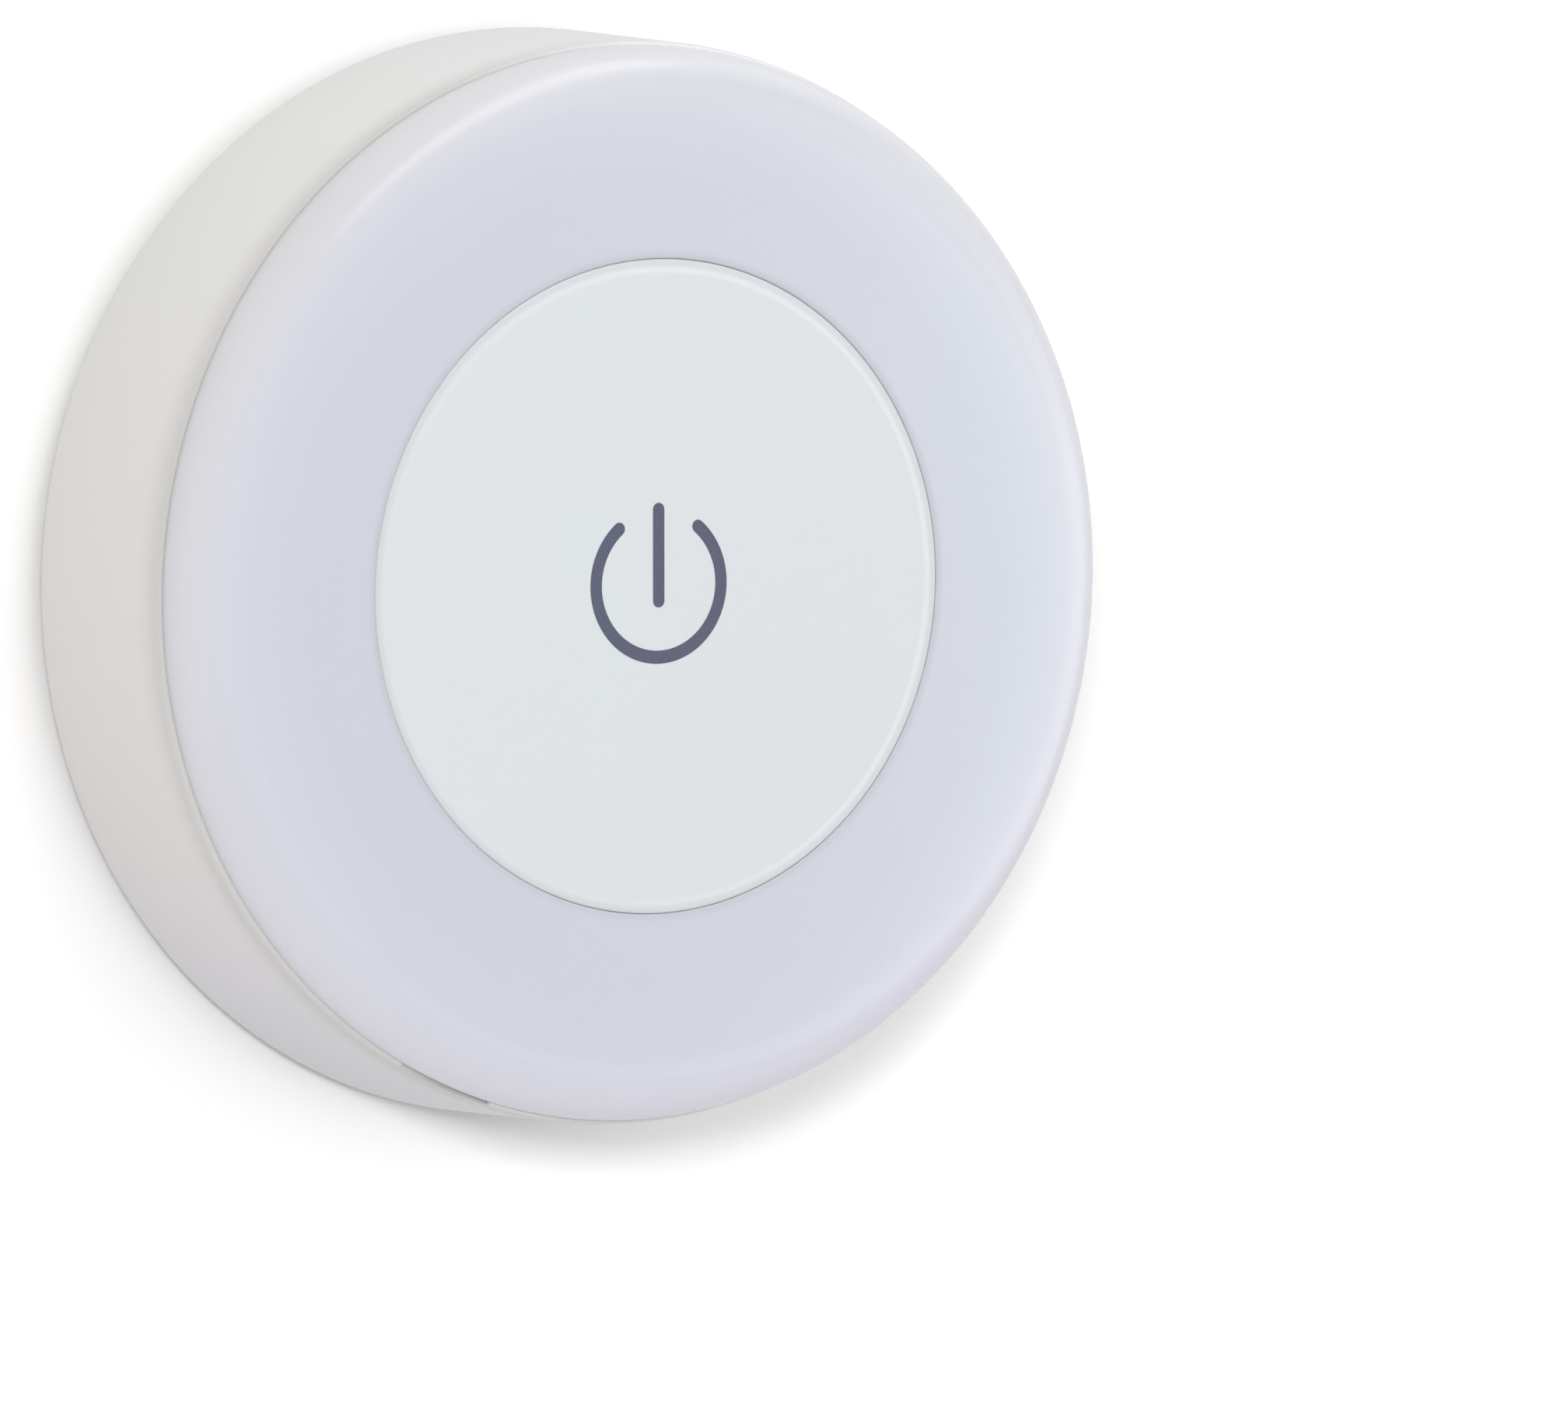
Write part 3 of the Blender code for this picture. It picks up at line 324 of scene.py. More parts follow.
def tidy_mesh():
    """Joins what meets in the active mesh, and turns its faces outwards."""
    edit()
    bpy.ops.mesh.remove_doubles(threshold=WELD)
    bpy.ops.mesh.dissolve_degenerate(threshold=WELD)
    bpy.ops.mesh.normals_make_consistent(inside=False)
    leave()


def turned(name, outline, steps=TURNED_STEPS):
    """An outline of radius and height above the wall, spun round the lamp's axis."""
    made = draw(name, [(radius, -height, 0) for radius, height in outline])
    bpy.ops.mesh.spin(steps=steps, angle=FULL_TURN, center=(0, 0, 0), axis=(0, 1, 0))
    tidy_mesh()
    return made


def only(made):
    """Selects one object and nothing else."""
    bpy.ops.object.select_all(action="DESELECT")
    made.select_set(True)
    bpy.context.view_layer.objects.active = made


def fit(made, body, slot, finish, *replaced):
    """Gives a finished piece its shading, finish and body, and hides the nodes it stands for. The
    slot is not used.
    """
    only(made)
    bpy.ops.object.shade_smooth_by_angle(angle=SMOOTH_BELOW)
    made.data.materials.clear()
    made.data.materials.append(finish)
    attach(made, body)
    if replaced:
        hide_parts(*replaced)


def srgb(red, green, blue):
    """A colour as a picture shows it, from 0 to 255, as the shader needs it."""
    linear = [
        value / 12.92 if value <= 0.04045 else ((value + 0.055) / 1.055) ** 2.4
        for value in (red / 255, green / 255, blue / 255)
    ]
    return (*linear, 1)


def new_finish(name, constants=()):
    """A material, a Link to the place on the object, and the shader with what is the same."""
    made = bpy.data.materials.new(name)
    nodes = blank_tree(made)
    shader = nodes.node("ShaderNodeBsdfPrincipled", (), constants)
    nodes.node("ShaderNodeOutputMaterial", (), {"Surface": shader})
    return made, nodes.node("ShaderNodeTexCoord").output("Object"), shader.socket.node


def vary(shader, colour, roughness, height=None, depth=0.0):
    """Links what changes over a surface: its colour, its roughness and a bump of a given depth."""
    sockets = {"Base Color": colour, "Roughness": roughness}
    if height is not None:
        relief = {"Height": height, "Distance": depth, "Strength": 1.0}
        sockets["Normal"] = height.node("ShaderNodeBump", (), relief)
    for name, value in sockets.items():
        value.tree.links.new(value.socket, shader.inputs[name])


def noise(point, size, detail=2.0):
    """Noise from 0 to 1 whose blotches are about the given size."""
    sockets = {"Vector": point, "Scale": 1 / size, "Detail": detail, "Roughness": 0.5}
    return point.node("ShaderNodeTexNoise", (), sockets)


def directions(point):
    """Across the lamp, up the wall, height above it, and distance from the lamp's axis."""
    parts = point.node("ShaderNodeSeparateXYZ", (), {"Vector": point})
    across, height, up = parts.output("X"), parts.output("Y") * -1, parts.output("Z")
    return across, up, height, (across * across + up * up).root()


pad_low, pad_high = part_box("foam_pad")
pad_radius = pad_high.x
pad_front = -pad_low.y
pad_half = pad_front / 2
pad_side = [
    (pad_radius - PAD_EDGE_BULGE * (1 - math.cos(angle)), pad_half + pad_half * math.sin(angle))
    for angle in [QUARTER_TURN * step / 4 for step in range(-4, 5)]
]
pad = turned("foam_disc", [(0, 0), *pad_side, (0, pad_front)])

FOAM_COLOURS = (srgb(216, 216, 212), srgb(178, 178, 174))
GLUE_COLOURS = (srgb(222, 219, 206), srgb(212, 209, 196))
foam_finish, point, shader = new_finish("closed cell foam", {"Specular IOR Level": 0.3})
height = directions(point)[2]
in_foam = height.ramp(0.0, GLUE_FILM) - height.ramp(pad_front - GLUE_FILM, pad_front)
cells = point.node("ShaderNodeTexVoronoi", (), {"Vector": point, "Scale": 1 / FOAM_CELL})
blotch = noise(point, 6 * MM)
foam_colour = (cells * 0.6 + blotch * 0.4).between(*FOAM_COLOURS)
colour = in_foam.between(blotch.between(*GLUE_COLOURS), foam_colour)
vary(shader, colour, 0.35 + in_foam * 0.6, cells * in_foam + blotch * 0.3, 0.08 * MM)
fit(pad, "wall_plate", "foam", foam_finish, "foam_pad")


# Back cover
# One white moulding that stays on the wall. The pad sticks in the pocket behind it, and three
# upright tabs in front of it reach over the housing's ledges with their lugs.
SEAT_GAP = 0.3 * MM
RUNNING_GAP = 0.4 * MM
JOIN_DEPTH = 0.4 * MM
COVER_EDGE = 0.4 * MM
COVER_FRONT = 2.8 * MM
POCKET_FLOOR = 1.3 * MM
LEDGE_FRONT = 4.6 * MM
LEDGE_INNER = 38.9 * MM
TAB_WALL = 1.4 * MM
TAB_ARC = math.radians(14)
LUG_REACH = 1.5 * MM
LUG_COUNT = 3
GUSSET_REACH = 2.4 * MM
GUSSET_WIDTH = 1.2 * MM
STEP_RING_RADIUS = 34.5 * MM
STEP_RING_DEPTH = 0.25 * MM
STEP_RING_WIDTH = 0.8 * MM
COVER_COLOURS = (srgb(226, 226, 222), srgb(216, 217, 214))


def back_round(radius, back, size, steps):
    """The rounded corner of an outline at its back."""
    return arc((radius - size, back + size), size, -QUARTER_TURN, 0, steps)


def front_round(radius, front, size, steps):
    """The rounded corner of an outline at its front."""
    return arc((radius - size, front - size), size, 0, QUARTER_TURN, steps)


def on_lamp(across, up, height):
    """A place given across the lamp, up the wall and above the wall."""
    return Vector((across, -height, up))


def around(middle, width):
    """The start and end of a part of a turn."""
    return middle - width / 2, middle + width / 2


def roll(made, angle):
    """Turns a mesh round the lamp's axis."""
    made.data.transform(Matrix.Rotation(-angle, 4, "Y"))
    return made


def ring_part(inner, outer, back, front, start, end):
    """Part of a ring between two radii, two heights and two angles."""
    corners = ((inner, back), (outer, back), (outer, front), (inner, front))
    points = [
        on_lamp(radius * math.cos(start), radius * math.sin(start), height)
        for radius, height in corners
    ]
    made = draw("ring part", points)
    bpy.ops.mesh.edge_face_add()
    steps = max(2, round(TURNED_STEPS * (end - start) / FULL_TURN))
    bpy.ops.mesh.spin(steps=steps, angle=end - start, center=(0, 0, 0), axis=(0, 1, 0))
    tidy_mesh()
    return made


def plate(name, corners, *step):
    """A flat outline with a thickness."""
    made = draw(name, corners)
    bpy.ops.mesh.edge_face_add()
    stretch(*step)
    tidy_mesh()
    return made


def join(shapes):
    """Makes one object of several."""
    only(shapes[0])
    for shape in shapes:
        shape.select_set(True)
    bpy.ops.object.join()
    return shapes[0]


def combine(made, shapes, operation="UNION"):
    """Grows shapes on to a piece, or cuts them out of it."""
    tool = join(shapes)
    for part, action in ((made, "DESELECT"), (tool, "SELECT")):
        only(part)
        edit("FACE", action)
        leave()
    join([made, tool])
    bpy.ops.object.mode_set(mode="EDIT")
    bpy.ops.mesh.intersect_boolean(operation=operation, solver="EXACT", use_self=True)
    tidy_mesh()


cover_low, cover_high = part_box("back_cover")
cover_radius = cover_high.x
cover_back = -cover_high.y
lug_front = -cover_low.y
lug_back = LEDGE_FRONT + SEAT_GAP
pocket_radius = pad_radius + RUNNING_GAP
tab_outer = LEDGE_INNER - RUNNING_GAP
tab_inner = tab_outer - TAB_WALL
step_ring_bottom = cover_back + STEP_RING_DEPTH
cover = turned(
    "wall_cover",
    [
        (0, POCKET_FLOOR),
        (pocket_radius, POCKET_FLOOR),
        (pocket_radius, cover_back + COVER_EDGE / 2),
        (pocket_radius + COVER_EDGE / 2, cover_back),
        (STEP_RING_RADIUS, cover_back),
        (STEP_RING_RADIUS, step_ring_bottom),
        (STEP_RING_RADIUS + STEP_RING_WIDTH, step_ring_bottom),
        (STEP_RING_RADIUS + STEP_RING_WIDTH, cover_back),
        *back_round(cover_radius, cover_back, COVER_EDGE, 4),
        *front_round(cover_radius, COVER_FRONT, COVER_EDGE, 4),
        (0, COVER_FRONT),
    ],
)
tabs = []
rooted = COVER_FRONT - JOIN_DEPTH
lug_root = tab_outer - JOIN_DEPTH
gusset_foot = tab_inner + JOIN_DEPTH
gusset_corners = (
    (gusset_foot, rooted),
    (tab_inner - GUSSET_REACH, rooted),
    (tab_inner - GUSSET_REACH, COVER_FRONT),
    (gusset_foot - JOIN_DEPTH, lug_back),
    (gusset_foot, lug_back),
)
for index in range(LUG_COUNT):
    middle = FULL_TURN * index / LUG_COUNT
    span = around(middle, TAB_ARC)
    tabs.append(ring_part(tab_inner, tab_outer, rooted, lug_front, *span))
    tabs.append(ring_part(lug_root, tab_outer + LUG_REACH, lug_back, lug_front, *span))
    points = [on_lamp(radius, -GUSSET_WIDTH / 2, height) for radius, height in gusset_corners]
    tabs.append(roll(plate("gusset", points, 0, 0, GUSSET_WIDTH), middle))
combine(cover, tabs)

cover_finish, point, shader = new_finish("cover plastic", {"IOR": 1.5})
grain = noise(point, 0.3 * MM, 3.0)
colour = noise(point, 18 * MM).between(*COVER_COLOURS)
vary(shader, colour, 0.45 + grain * 0.12, grain, 0.01 * MM)
fit(cover, "wall_plate", "cover_white", cover_finish, "back_cover")


# Housing
# One warm white moulding with a spark-eroded satin outside: a drafted side wall with a thin rounded
# lip in front, and a deck inside that carries the board in front and the bay for the cells behind.
LIP_RADIUS = 42.5 * MM
HOUSING_WALL = 2.0 * MM
RIM_ROUND = 0.8 * MM
LIP_ROUND_DEPTH = 0.8 * MM
LIP_TOP = 0.05 * MM
DECK_BACK = 14.2 * MM
DECK_FRONT = 15.4 * MM
GROOVE_DEPTH = 0.7 * MM
SNAP_BACK = 16.6 * MM
SNAP_FRONT = 17.6 * MM
PRY_SLOT = (math.radians(240.5), math.radians(252))
PRY_SLOT_DEPTH = 0.35 * MM
CELL_PITCH = 11.1 * MM
CELL_PLACES = (-CELL_PITCH, 0, CELL_PITCH)
CELL_AXIS = 8.65 * MM
BAY_HALF_LENGTH = 25.25 * MM
BAY_HALF_WIDTH = 16.95 * MM
BAY_WALL = 1.3 * MM
BAY_BACK = 3.4 * MM
CRADLE_WIDTH = 1.0 * MM
CRADLE_HEIGHT = 3.0 * MM
CRADLE_HALF_LENGTH = 19.65 * MM
POST_WIDTH = 1.4 * MM
POST_REACH = 1.5 * MM
POST_BACK = 4.45 * MM
RIB_BACK = 7.1 * MM
RIB_THICKNESS = 1.2 * MM
SIDE_RIB_OFFSET = 9.0 * MM
SCREW_CIRCLE = 28.0 * MM
SCREW_ANGLES = [math.radians(angle) for angle in (60, 120, 240, 300)]
BOSS_RADIUS = 2.6 * MM
BOSS_BACK = 10.2 * MM
BOSS_FRONT = 16.2 * MM
BOSS_STEPS = 44
PILOT_RADIUS = 1.3 * MM
PILOT_BOTTOM = 11.9 * MM
PILOT_STEPS = 32
LEDGE_BACK = 3.2 * MM
LEDGE_ARC = math.radians(20)
STOP_START = math.radians(7.6)
TAIL_SLOT_HALF = 1.3 * MM
TAIL_SLOT_INNER = 24.25 * MM
OVERRUN = 1.0 * MM
SLOT_SHADE = 0.1 * MM
SEAM_SHADE = 4.0 * MM
TOP_FADE = (-5 * MM, 30 * MM)
RIGHT_FADE = (-25 * MM, 0)
LOW_FADE = (-12 * MM, -34 * MM)
SEAM_FADE = (5 * MM, -18 * MM)
LIP_FADE = (0, -18 * MM)
LIP_RISE = (-20 * MM, 10 * MM)
WARM_WHITES = (srgb(235, 229, 226), srgb(231, 227, 224))
# Painted light and shade tints: the top, the right and the low side are tinted by how light falls
# on them.
TOP_LIGHT_TINT = srgb(229, 229, 224)
RIGHT_LIGHT_TINT = srgb(231, 231, 235)
LOW_SHADE_TINT = srgb(231, 229, 233)
SEAM_SHADE_COLOUR = srgb(217, 215, 213)
LIP_SHADE_COLOUR = srgb(203, 201, 198)
SLOT_SHADE_COLOUR = srgb(196, 192, 196)


def rod(radius, back, front):
    """The outline of a plain round rod."""
    return [(0, back), (radius, back), (radius, front), (0, front)]


def block(name, across, up, height):
    """A block between two places across, two up the wall and two above it."""
    low, high = (on_lamp(*ends) for ends in zip(across, up, height))
    bpy.ops.object.select_all(action="DESELECT")
    bpy.ops.mesh.primitive_cube_add(size=1, location=(0, 0, 0))
    made = bpy.context.object
    made.name = name
    edit()
    bpy.ops.transform.resize(value=[abs(side) for side in high - low])
    bpy.ops.transform.translate(value=(high + low) / 2)
    leave()
    return made


def shifted(made, across, up):
    made.data.transform(Matrix.Translation(on_lamp(across, up, 0)))
    return made


def rib(start, end):
    """A rib behind the deck, from one place to another."""
    run = Vector(end) - Vector(start)
    half = RIB_THICKNESS / 2
    made = block("rib", (0, run.length), (-half, half), (RIB_BACK, DECK_BACK + JOIN_DEPTH))
    return shifted(roll(made, math.atan2(run.y, run.x)), start[0], start[1])


housing_low, housing_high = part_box("housing")
rear_radius = housing_high.x
rim_back = -housing_high.y
lip_front = -housing_low.y
bore = LIP_RADIUS - HOUSING_WALL
lip_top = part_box("diffuser")[1].x + LIP_TOP
lip_round = LIP_RADIUS - lip_top
lip_side = [
    (lip_top + lip_round * math.cos(angle), lip_front - LIP_ROUND_DEPTH * (1 - math.sin(angle)))
    for angle in [QUARTER_TURN * step / 8 for step in range(9)]
]
housing = turned(
    "housing_shell",
    [
        (0, DECK_BACK),
        (bore, DECK_BACK),
        (bore, rim_back + RIM_ROUND / 2),
        (bore + RIM_ROUND / 2, rim_back),
        *back_round(rear_radius, rim_back, RIM_ROUND, 6),
        *lip_side,
        (bore, lip_front),
        (bore, SNAP_FRONT + SEAT_GAP),
        (bore + GROOVE_DEPTH, SNAP_FRONT),
        (bore + GROOVE_DEPTH, SNAP_BACK - SEAT_GAP),
        (bore, SNAP_BACK - SEAT_GAP),
        (bore, DECK_FRONT),
        (0, DECK_FRONT),
    ],
)
walls = []
deck_root = DECK_BACK + JOIN_DEPTH
bay_length = BAY_HALF_LENGTH + BAY_WALL
bay_width = BAY_HALF_WIDTH + BAY_WALL
reach = bore + JOIN_DEPTH
for side in (-1, 1):
    end_wall = ((side * BAY_HALF_LENGTH, side * bay_length), (-bay_width, bay_width))
    side_wall = ((-bay_length, bay_length), (side * BAY_HALF_WIDTH, side * bay_width))
    for wall in (end_wall, side_wall):
        walls.append(block("bay wall", *wall, (BAY_BACK, deck_root)))
    middle = side * CELL_PITCH / 2
    length = (-CRADLE_HALF_LENGTH, CRADLE_HALF_LENGTH)
    heights = (DECK_BACK - CRADLE_HEIGHT, deck_root)
    walls.append(block("cradle", length, around(middle, CRADLE_WIDTH), heights))
    length = (side * (BAY_HALF_LENGTH - POST_REACH), side * (BAY_HALF_LENGTH + JOIN_DEPTH))
    walls.append(block("post", length, around(middle, POST_WIDTH), (POST_BACK, deck_root)))
    for offset in (-SIDE_RIB_OFFSET, SIDE_RIB_OFFSET):
        wall_x = math.sqrt(reach**2 - offset**2)
        walls.append(rib((side * (bay_length - JOIN_DEPTH), offset), (side * wall_x, offset)))
    walls.append(rib((0, side * (bay_width - JOIN_DEPTH)), (0, side * reach)))
screw_places = [
    (SCREW_CIRCLE * math.cos(angle), SCREW_CIRCLE * math.sin(angle)) for angle in SCREW_ANGLES
]
cuts = []
for place in screw_places:
    outward = Vector(place).normalized()
    boss = turned("boss", rod(BOSS_RADIUS, BOSS_BACK, BOSS_FRONT), BOSS_STEPS)
    walls.append(shifted(boss, *place))
    walls.append(rib(outward * (SCREW_CIRCLE + BOSS_RADIUS - JOIN_DEPTH), outward * reach))
    pilot = turned("pilot", rod(PILOT_RADIUS, PILOT_BOTTOM, BOSS_FRONT + OVERRUN), PILOT_STEPS)
    cuts.append(shifted(pilot, *place))
for index in range(LUG_COUNT):
    middle = FULL_TURN * index / LUG_COUNT
    start, end = around(middle, LEDGE_ARC)
    walls.append(ring_part(LEDGE_INNER, reach, LEDGE_BACK, LEDGE_FRONT, start, end))
    stop_root = LEDGE_FRONT - JOIN_DEPTH
    walls.append(ring_part(LEDGE_INNER, reach, stop_root, lug_front, middle + STOP_START, end))
combine(housing, walls)


def tail_slot(side, back, front):
    """The slot that a contact's tail goes through, with some length to spare."""
    length = (side * TAIL_SLOT_INNER, side * BAY_HALF_LENGTH)
    width = around(side * CELL_PITCH, 2 * TAIL_SLOT_HALF)
    return block("tail slot", length, width, (back - OVERRUN, front + OVERRUN))


for side in (-1, 1):
    cuts.append(tail_slot(side, DECK_BACK, DECK_FRONT))
slot_inner, slot_outer = bore + GROOVE_DEPTH, LIP_RADIUS + OVERRUN
slot_bottom = lip_front - PRY_SLOT_DEPTH
cuts.append(ring_part(slot_inner, slot_outer, slot_bottom, lip_front + OVERRUN, *PRY_SLOT))
combine(housing, cuts, "DIFFERENCE")

housing_finish, point, shader = new_finish("housing plastic", {"IOR": 1.5})
across, up, height, radius = directions(point)
grain = noise(point, 0.25 * MM, 3.0)
blotch = noise(point, 25 * MM)
# Painted shade: the side wall darkens towards the seam with the ring, fading out towards the right.
seam_shade_share = height.ramp(lip_front - SEAM_SHADE, lip_front - SEAM_SHADE / 5)
seam_shade_share = seam_shade_share * seam_shade_share * across.ramp(*SEAM_FADE)
# Painted shade on the lip's round, most at the upper left, fading towards the right and the bottom.
lip_shade_share = height.ramp(lip_front - LIP_ROUND_DEPTH * 0.8, lip_front - LIP_ROUND_DEPTH * 0.2)
lip_shade_share = lip_shade_share * across.ramp(*LIP_FADE) * up.ramp(*LIP_RISE)
# Painted shade in the pry slot, fading in from one end to its middle.
slot_middle = sum(PRY_SLOT) / 2
slot_half = (PRY_SLOT[1] - PRY_SLOT[0]) / 2
towards = (across * math.cos(slot_middle) + up * math.sin(slot_middle)) / radius
past_slot = (up * math.cos(slot_middle) - across * math.sin(slot_middle)) / radius
slot_shade_share = towards.ramp(math.cos(slot_half * 1.08), math.cos(slot_half))
slot_shade_share = slot_shade_share * past_slot.ramp(-slot_half, 0.0)
slot_shade_share = slot_shade_share * height.ramp(lip_front - PRY_SLOT_DEPTH * 1.1, slot_bottom)
slot_shade_share = slot_shade_share * radius.ramp(LIP_RADIUS - SLOT_SHADE, LIP_RADIUS - 1.5 * SLOT_SHADE)
# A random warm tone, then painted light and shade: tints by direction, and shade at the seam, on
# the lip's round and in the pry slot.
colour = blotch.between(*WARM_WHITES)
for share, tint in (
    (up.ramp(*TOP_FADE), TOP_LIGHT_TINT),
    (across.ramp(*RIGHT_FADE), RIGHT_LIGHT_TINT),
    (up.ramp(*LOW_FADE), LOW_SHADE_TINT),
    (seam_shade_share, SEAM_SHADE_COLOUR),
    (lip_shade_share, LIP_SHADE_COLOUR),
    (slot_shade_share, SLOT_SHADE_COLOUR),
):
    colour = share.between(colour, tint)
vary(shader, colour, 0.42 + grain * 0.1, grain, 0.006 * MM)
fit(housing, "lamp", "housing_white", housing_finish, "housing")


# Battery cells
# Three AAA cells side by side, the middle one turned end for end. A nickel-plated steel can shows
# at both ends of a plain shrink sleeve, which is drawn over the can's shoulders.
CELL_RADIUS = 5.25 * MM
CELL_LENGTH = 44.5 * MM
NUB_RADIUS = 1.9 * MM
NUB_HEIGHT = 0.9 * MM
SLEEVE_WALL = 0.12 * MM
SLEEVE_LAP = 0.9 * MM
SLEEVE_LIFT = 0.02 * MM
SHOULDER_ROUND = 0.6 * MM
MINUS_DISH_RADIUS = 3.2 * MM
MINUS_DISH_DEPTH = 0.2 * MM
CELL_STEPS = 64
BAND_START = 38.0 * MM
BAND_END = 39.2 * MM
BAND_BLUR = 0.05 * MM
STEEL_COLOURS = (srgb(214, 213, 209), srgb(192, 190, 184))
SLEEVE_COLOURS = (srgb(62, 74, 92), srgb(70, 82, 100))
BAND_COLOUR = srgb(196, 200, 204)

can_radius = CELL_RADIUS - SLEEVE_WALL
can_front = CELL_LENGTH - NUB_HEIGHT
shoulder = SHOULDER_ROUND - SLEEVE_WALL
lap_radius = CELL_RADIUS - SHOULDER_ROUND - SLEEVE_LAP
can_outline = [
    (0, MINUS_DISH_DEPTH),
    (MINUS_DISH_RADIUS, MINUS_DISH_DEPTH),
    (MINUS_DISH_RADIUS + MINUS_DISH_DEPTH / 2, 0),
    (lap_radius - SLEEVE_WALL, 0),
    (lap_radius - SLEEVE_WALL / 2, SLEEVE_WALL),
    *back_round(can_radius, SLEEVE_WALL, shoulder, 5),
    *front_round(can_radius, can_front - SLEEVE_WALL, shoulder, 5),
    (NUB_RADIUS + 2 * SLEEVE_WALL, can_front - SLEEVE_WALL),
    (NUB_RADIUS, can_front),
    *front_round(NUB_RADIUS, CELL_LENGTH, SHOULDER_ROUND / 2, 4),
    (0, CELL_LENGTH),
]
sleeve_outline = [
    (lap_radius, SLEEVE_LIFT),
    *back_round(CELL_RADIUS, 0, SHOULDER_ROUND, 6),
    *front_round(CELL_RADIUS, can_front, SHOULDER_ROUND, 6),
    (lap_radius, can_front),
    (lap_radius, can_front - SLEEVE_WALL),
    *front_round(can_radius, can_front - SLEEVE_WALL, shoulder, 6)[::-1],
    *back_round(can_radius, SLEEVE_WALL, shoulder, 6)[::-1],
    (lap_radius, SLEEVE_WALL),
    (lap_radius, SLEEVE_LIFT),
]

steel_finish, point, shader = new_finish("nickel plated steel", {"Metallic": 1.0, "IOR": 1.5})
grain = noise(point, 0.15 * MM, 3.0)
blotch = noise(point, 4 * MM, 3.0)
colour = blotch.between(*STEEL_COLOURS)
vary(shader, colour, 0.2 + blotch * 0.16 + grain * 0.05, grain, 0.001 * MM)


def sleeve_finish(name, minus_end, direction):
    """Dark blue-grey film, slightly uneven, with one pale band at the plus end."""
    made, point, shader = new_finish(name, {"IOR": 1.5})
    along = (directions(point)[0] - minus_end) * direction
    band = along.ramp(BAND_START, BAND_START + BAND_BLUR)
    band = band - along.ramp(BAND_END, BAND_END + BAND_BLUR)
    blotch = noise(point, 5 * MM, 3.0)
    colour = band.between(blotch.between(*SLEEVE_COLOURS), BAND_COLOUR)
    vary(shader, colour, 0.28 + blotch * 0.12, blotch, 0.02 * MM)
    return made


def lay_down(made, across, up, direction):
    """Lays a turned shape on a cell's axis, pointing to the right (1) or to the left (-1)."""
    turn = Matrix.Rotation(direction * QUARTER_TURN, 4, "Z")
    made.data.transform(Matrix.Translation(on_lamp(across, up, CELL_AXIS)) @ turn)


for index, place in enumerate(CELL_PLACES):
    number = index + 1
    node = f"battery_cell_{number}"
    direction = 1 if index % 2 == 0 else -1
    cell_low, cell_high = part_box(node)
    minus_end = cell_low.x if direction > 0 else cell_high.x
    can = turned(f"battery_can_{number}", can_outline, CELL_STEPS)
    sleeve = turned(f"battery_sleeve_{number}", sleeve_outline, CELL_STEPS)
    lay_down(can, minus_end, place, direction)
    lay_down(sleeve, minus_end, place, direction)
    fit(can, "lamp", "plated_steel", steel_finish, node)
    finish = sleeve_finish(f"shrink sleeve {number}", minus_end, direction)
    fit(sleeve, "lamp", "cell_sleeve", finish, node)


# Battery contacts
# Sheet-steel plates, nickel plated, pushed in behind the posts. A plate has a pressed dimple for
# the plus end and carries a conical spring for the minus end. Two have tails that reach the board.
CONTACT_INNER = 24.55 * MM
CONTACT_OUTER = 24.95 * MM
CONTACT_HALF_WIDTH = 4.55 * MM
CONTACT_HALF_HEIGHT = 4.2 * MM
CONTACT_CORNER = 0.8 * MM
CONTACT_EDGE = 0.06 * MM
SHARP_ABOVE = math.radians(40)
DIMPLE_RADIUS = 1.6 * MM
DIMPLE_HEIGHT = 0.25 * MM
DIMPLE_STEPS = 40
TAIL_HALF = 1.0 * MM
TAIL_FRONT = 18.1 * MM
WIRE_RADIUS = 0.3 * MM
SPRING_POINTS_PER_TURN = 28
CELL_SPRING_WIDE = 3.9 * MM
CELL_SPRING_NARROW = 2.6 * MM
CELL_SPRING_TURNS = 2.0
CLOSED_TURNS = 0.8
CLOSED_PITCH = 0.63 * MM


def round_edges(made, width, segments=2):
    """Rounds every sharp edge."""
    only(made)
    edge_band = made.modifiers.new("round edges", "BEVEL")
    edge_band.width = width
    edge_band.segments = segments
    edge_band.limit_method = "ANGLE"
    edge_band.angle_limit = SHARP_ABOVE
    bpy.ops.object.modifier_apply(modifier=edge_band.name)
    tidy_mesh()


def coil(name, start, direction, length, first_radius, last_radius, free_turns):
    """A spring of round wire with flat closed ends. Its radius changes over the free turns."""
    along = Vector(direction)
    across = along.orthogonal().normalized()
    beside = along.cross(across)
    closed_climb = WIRE_RADIUS + CLOSED_TURNS * CLOSED_PITCH
    stretches = (
        (CLOSED_TURNS, closed_climb, first_radius),
        (free_turns, length - closed_climb, last_radius),
        (CLOSED_TURNS, length - WIRE_RADIUS, last_radius),
    )
    points = []

    def add(turn, climb, radius):
        offset = across * math.cos(FULL_TURN * turn) + beside * math.sin(FULL_TURN * turn)
        points.append(Vector(start) + along * climb + offset * radius)

    turn, climb, radius = 0.0, WIRE_RADIUS, first_radius
    for turns, next_climb, next_radius in stretches:
        steps = round(turns * SPRING_POINTS_PER_TURN)
        for share in [step / steps for step in range(steps)]:
            here = radius + (next_radius - radius) * share
            add(turn + turns * share, climb + (next_climb - climb) * share, here)
        turn, climb, radius = turn + turns, next_climb, next_radius
    add(turn, climb, radius)
    data = bpy.data.curves.new(name, "CURVE")
    data.dimensions = "3D"
    data.bevel_depth = WIRE_RADIUS
    data.bevel_resolution = 4
    data.use_fill_caps = True
    line = data.splines.new("POLY")
    line.points.add(len(points) - 1)
    for target, place in zip(line.points, points):
        target.co = (*place, 1.0)
    only(put(name, data))
    bpy.ops.object.convert(target="MESH")
    tidy_mesh()
    return bpy.context.object


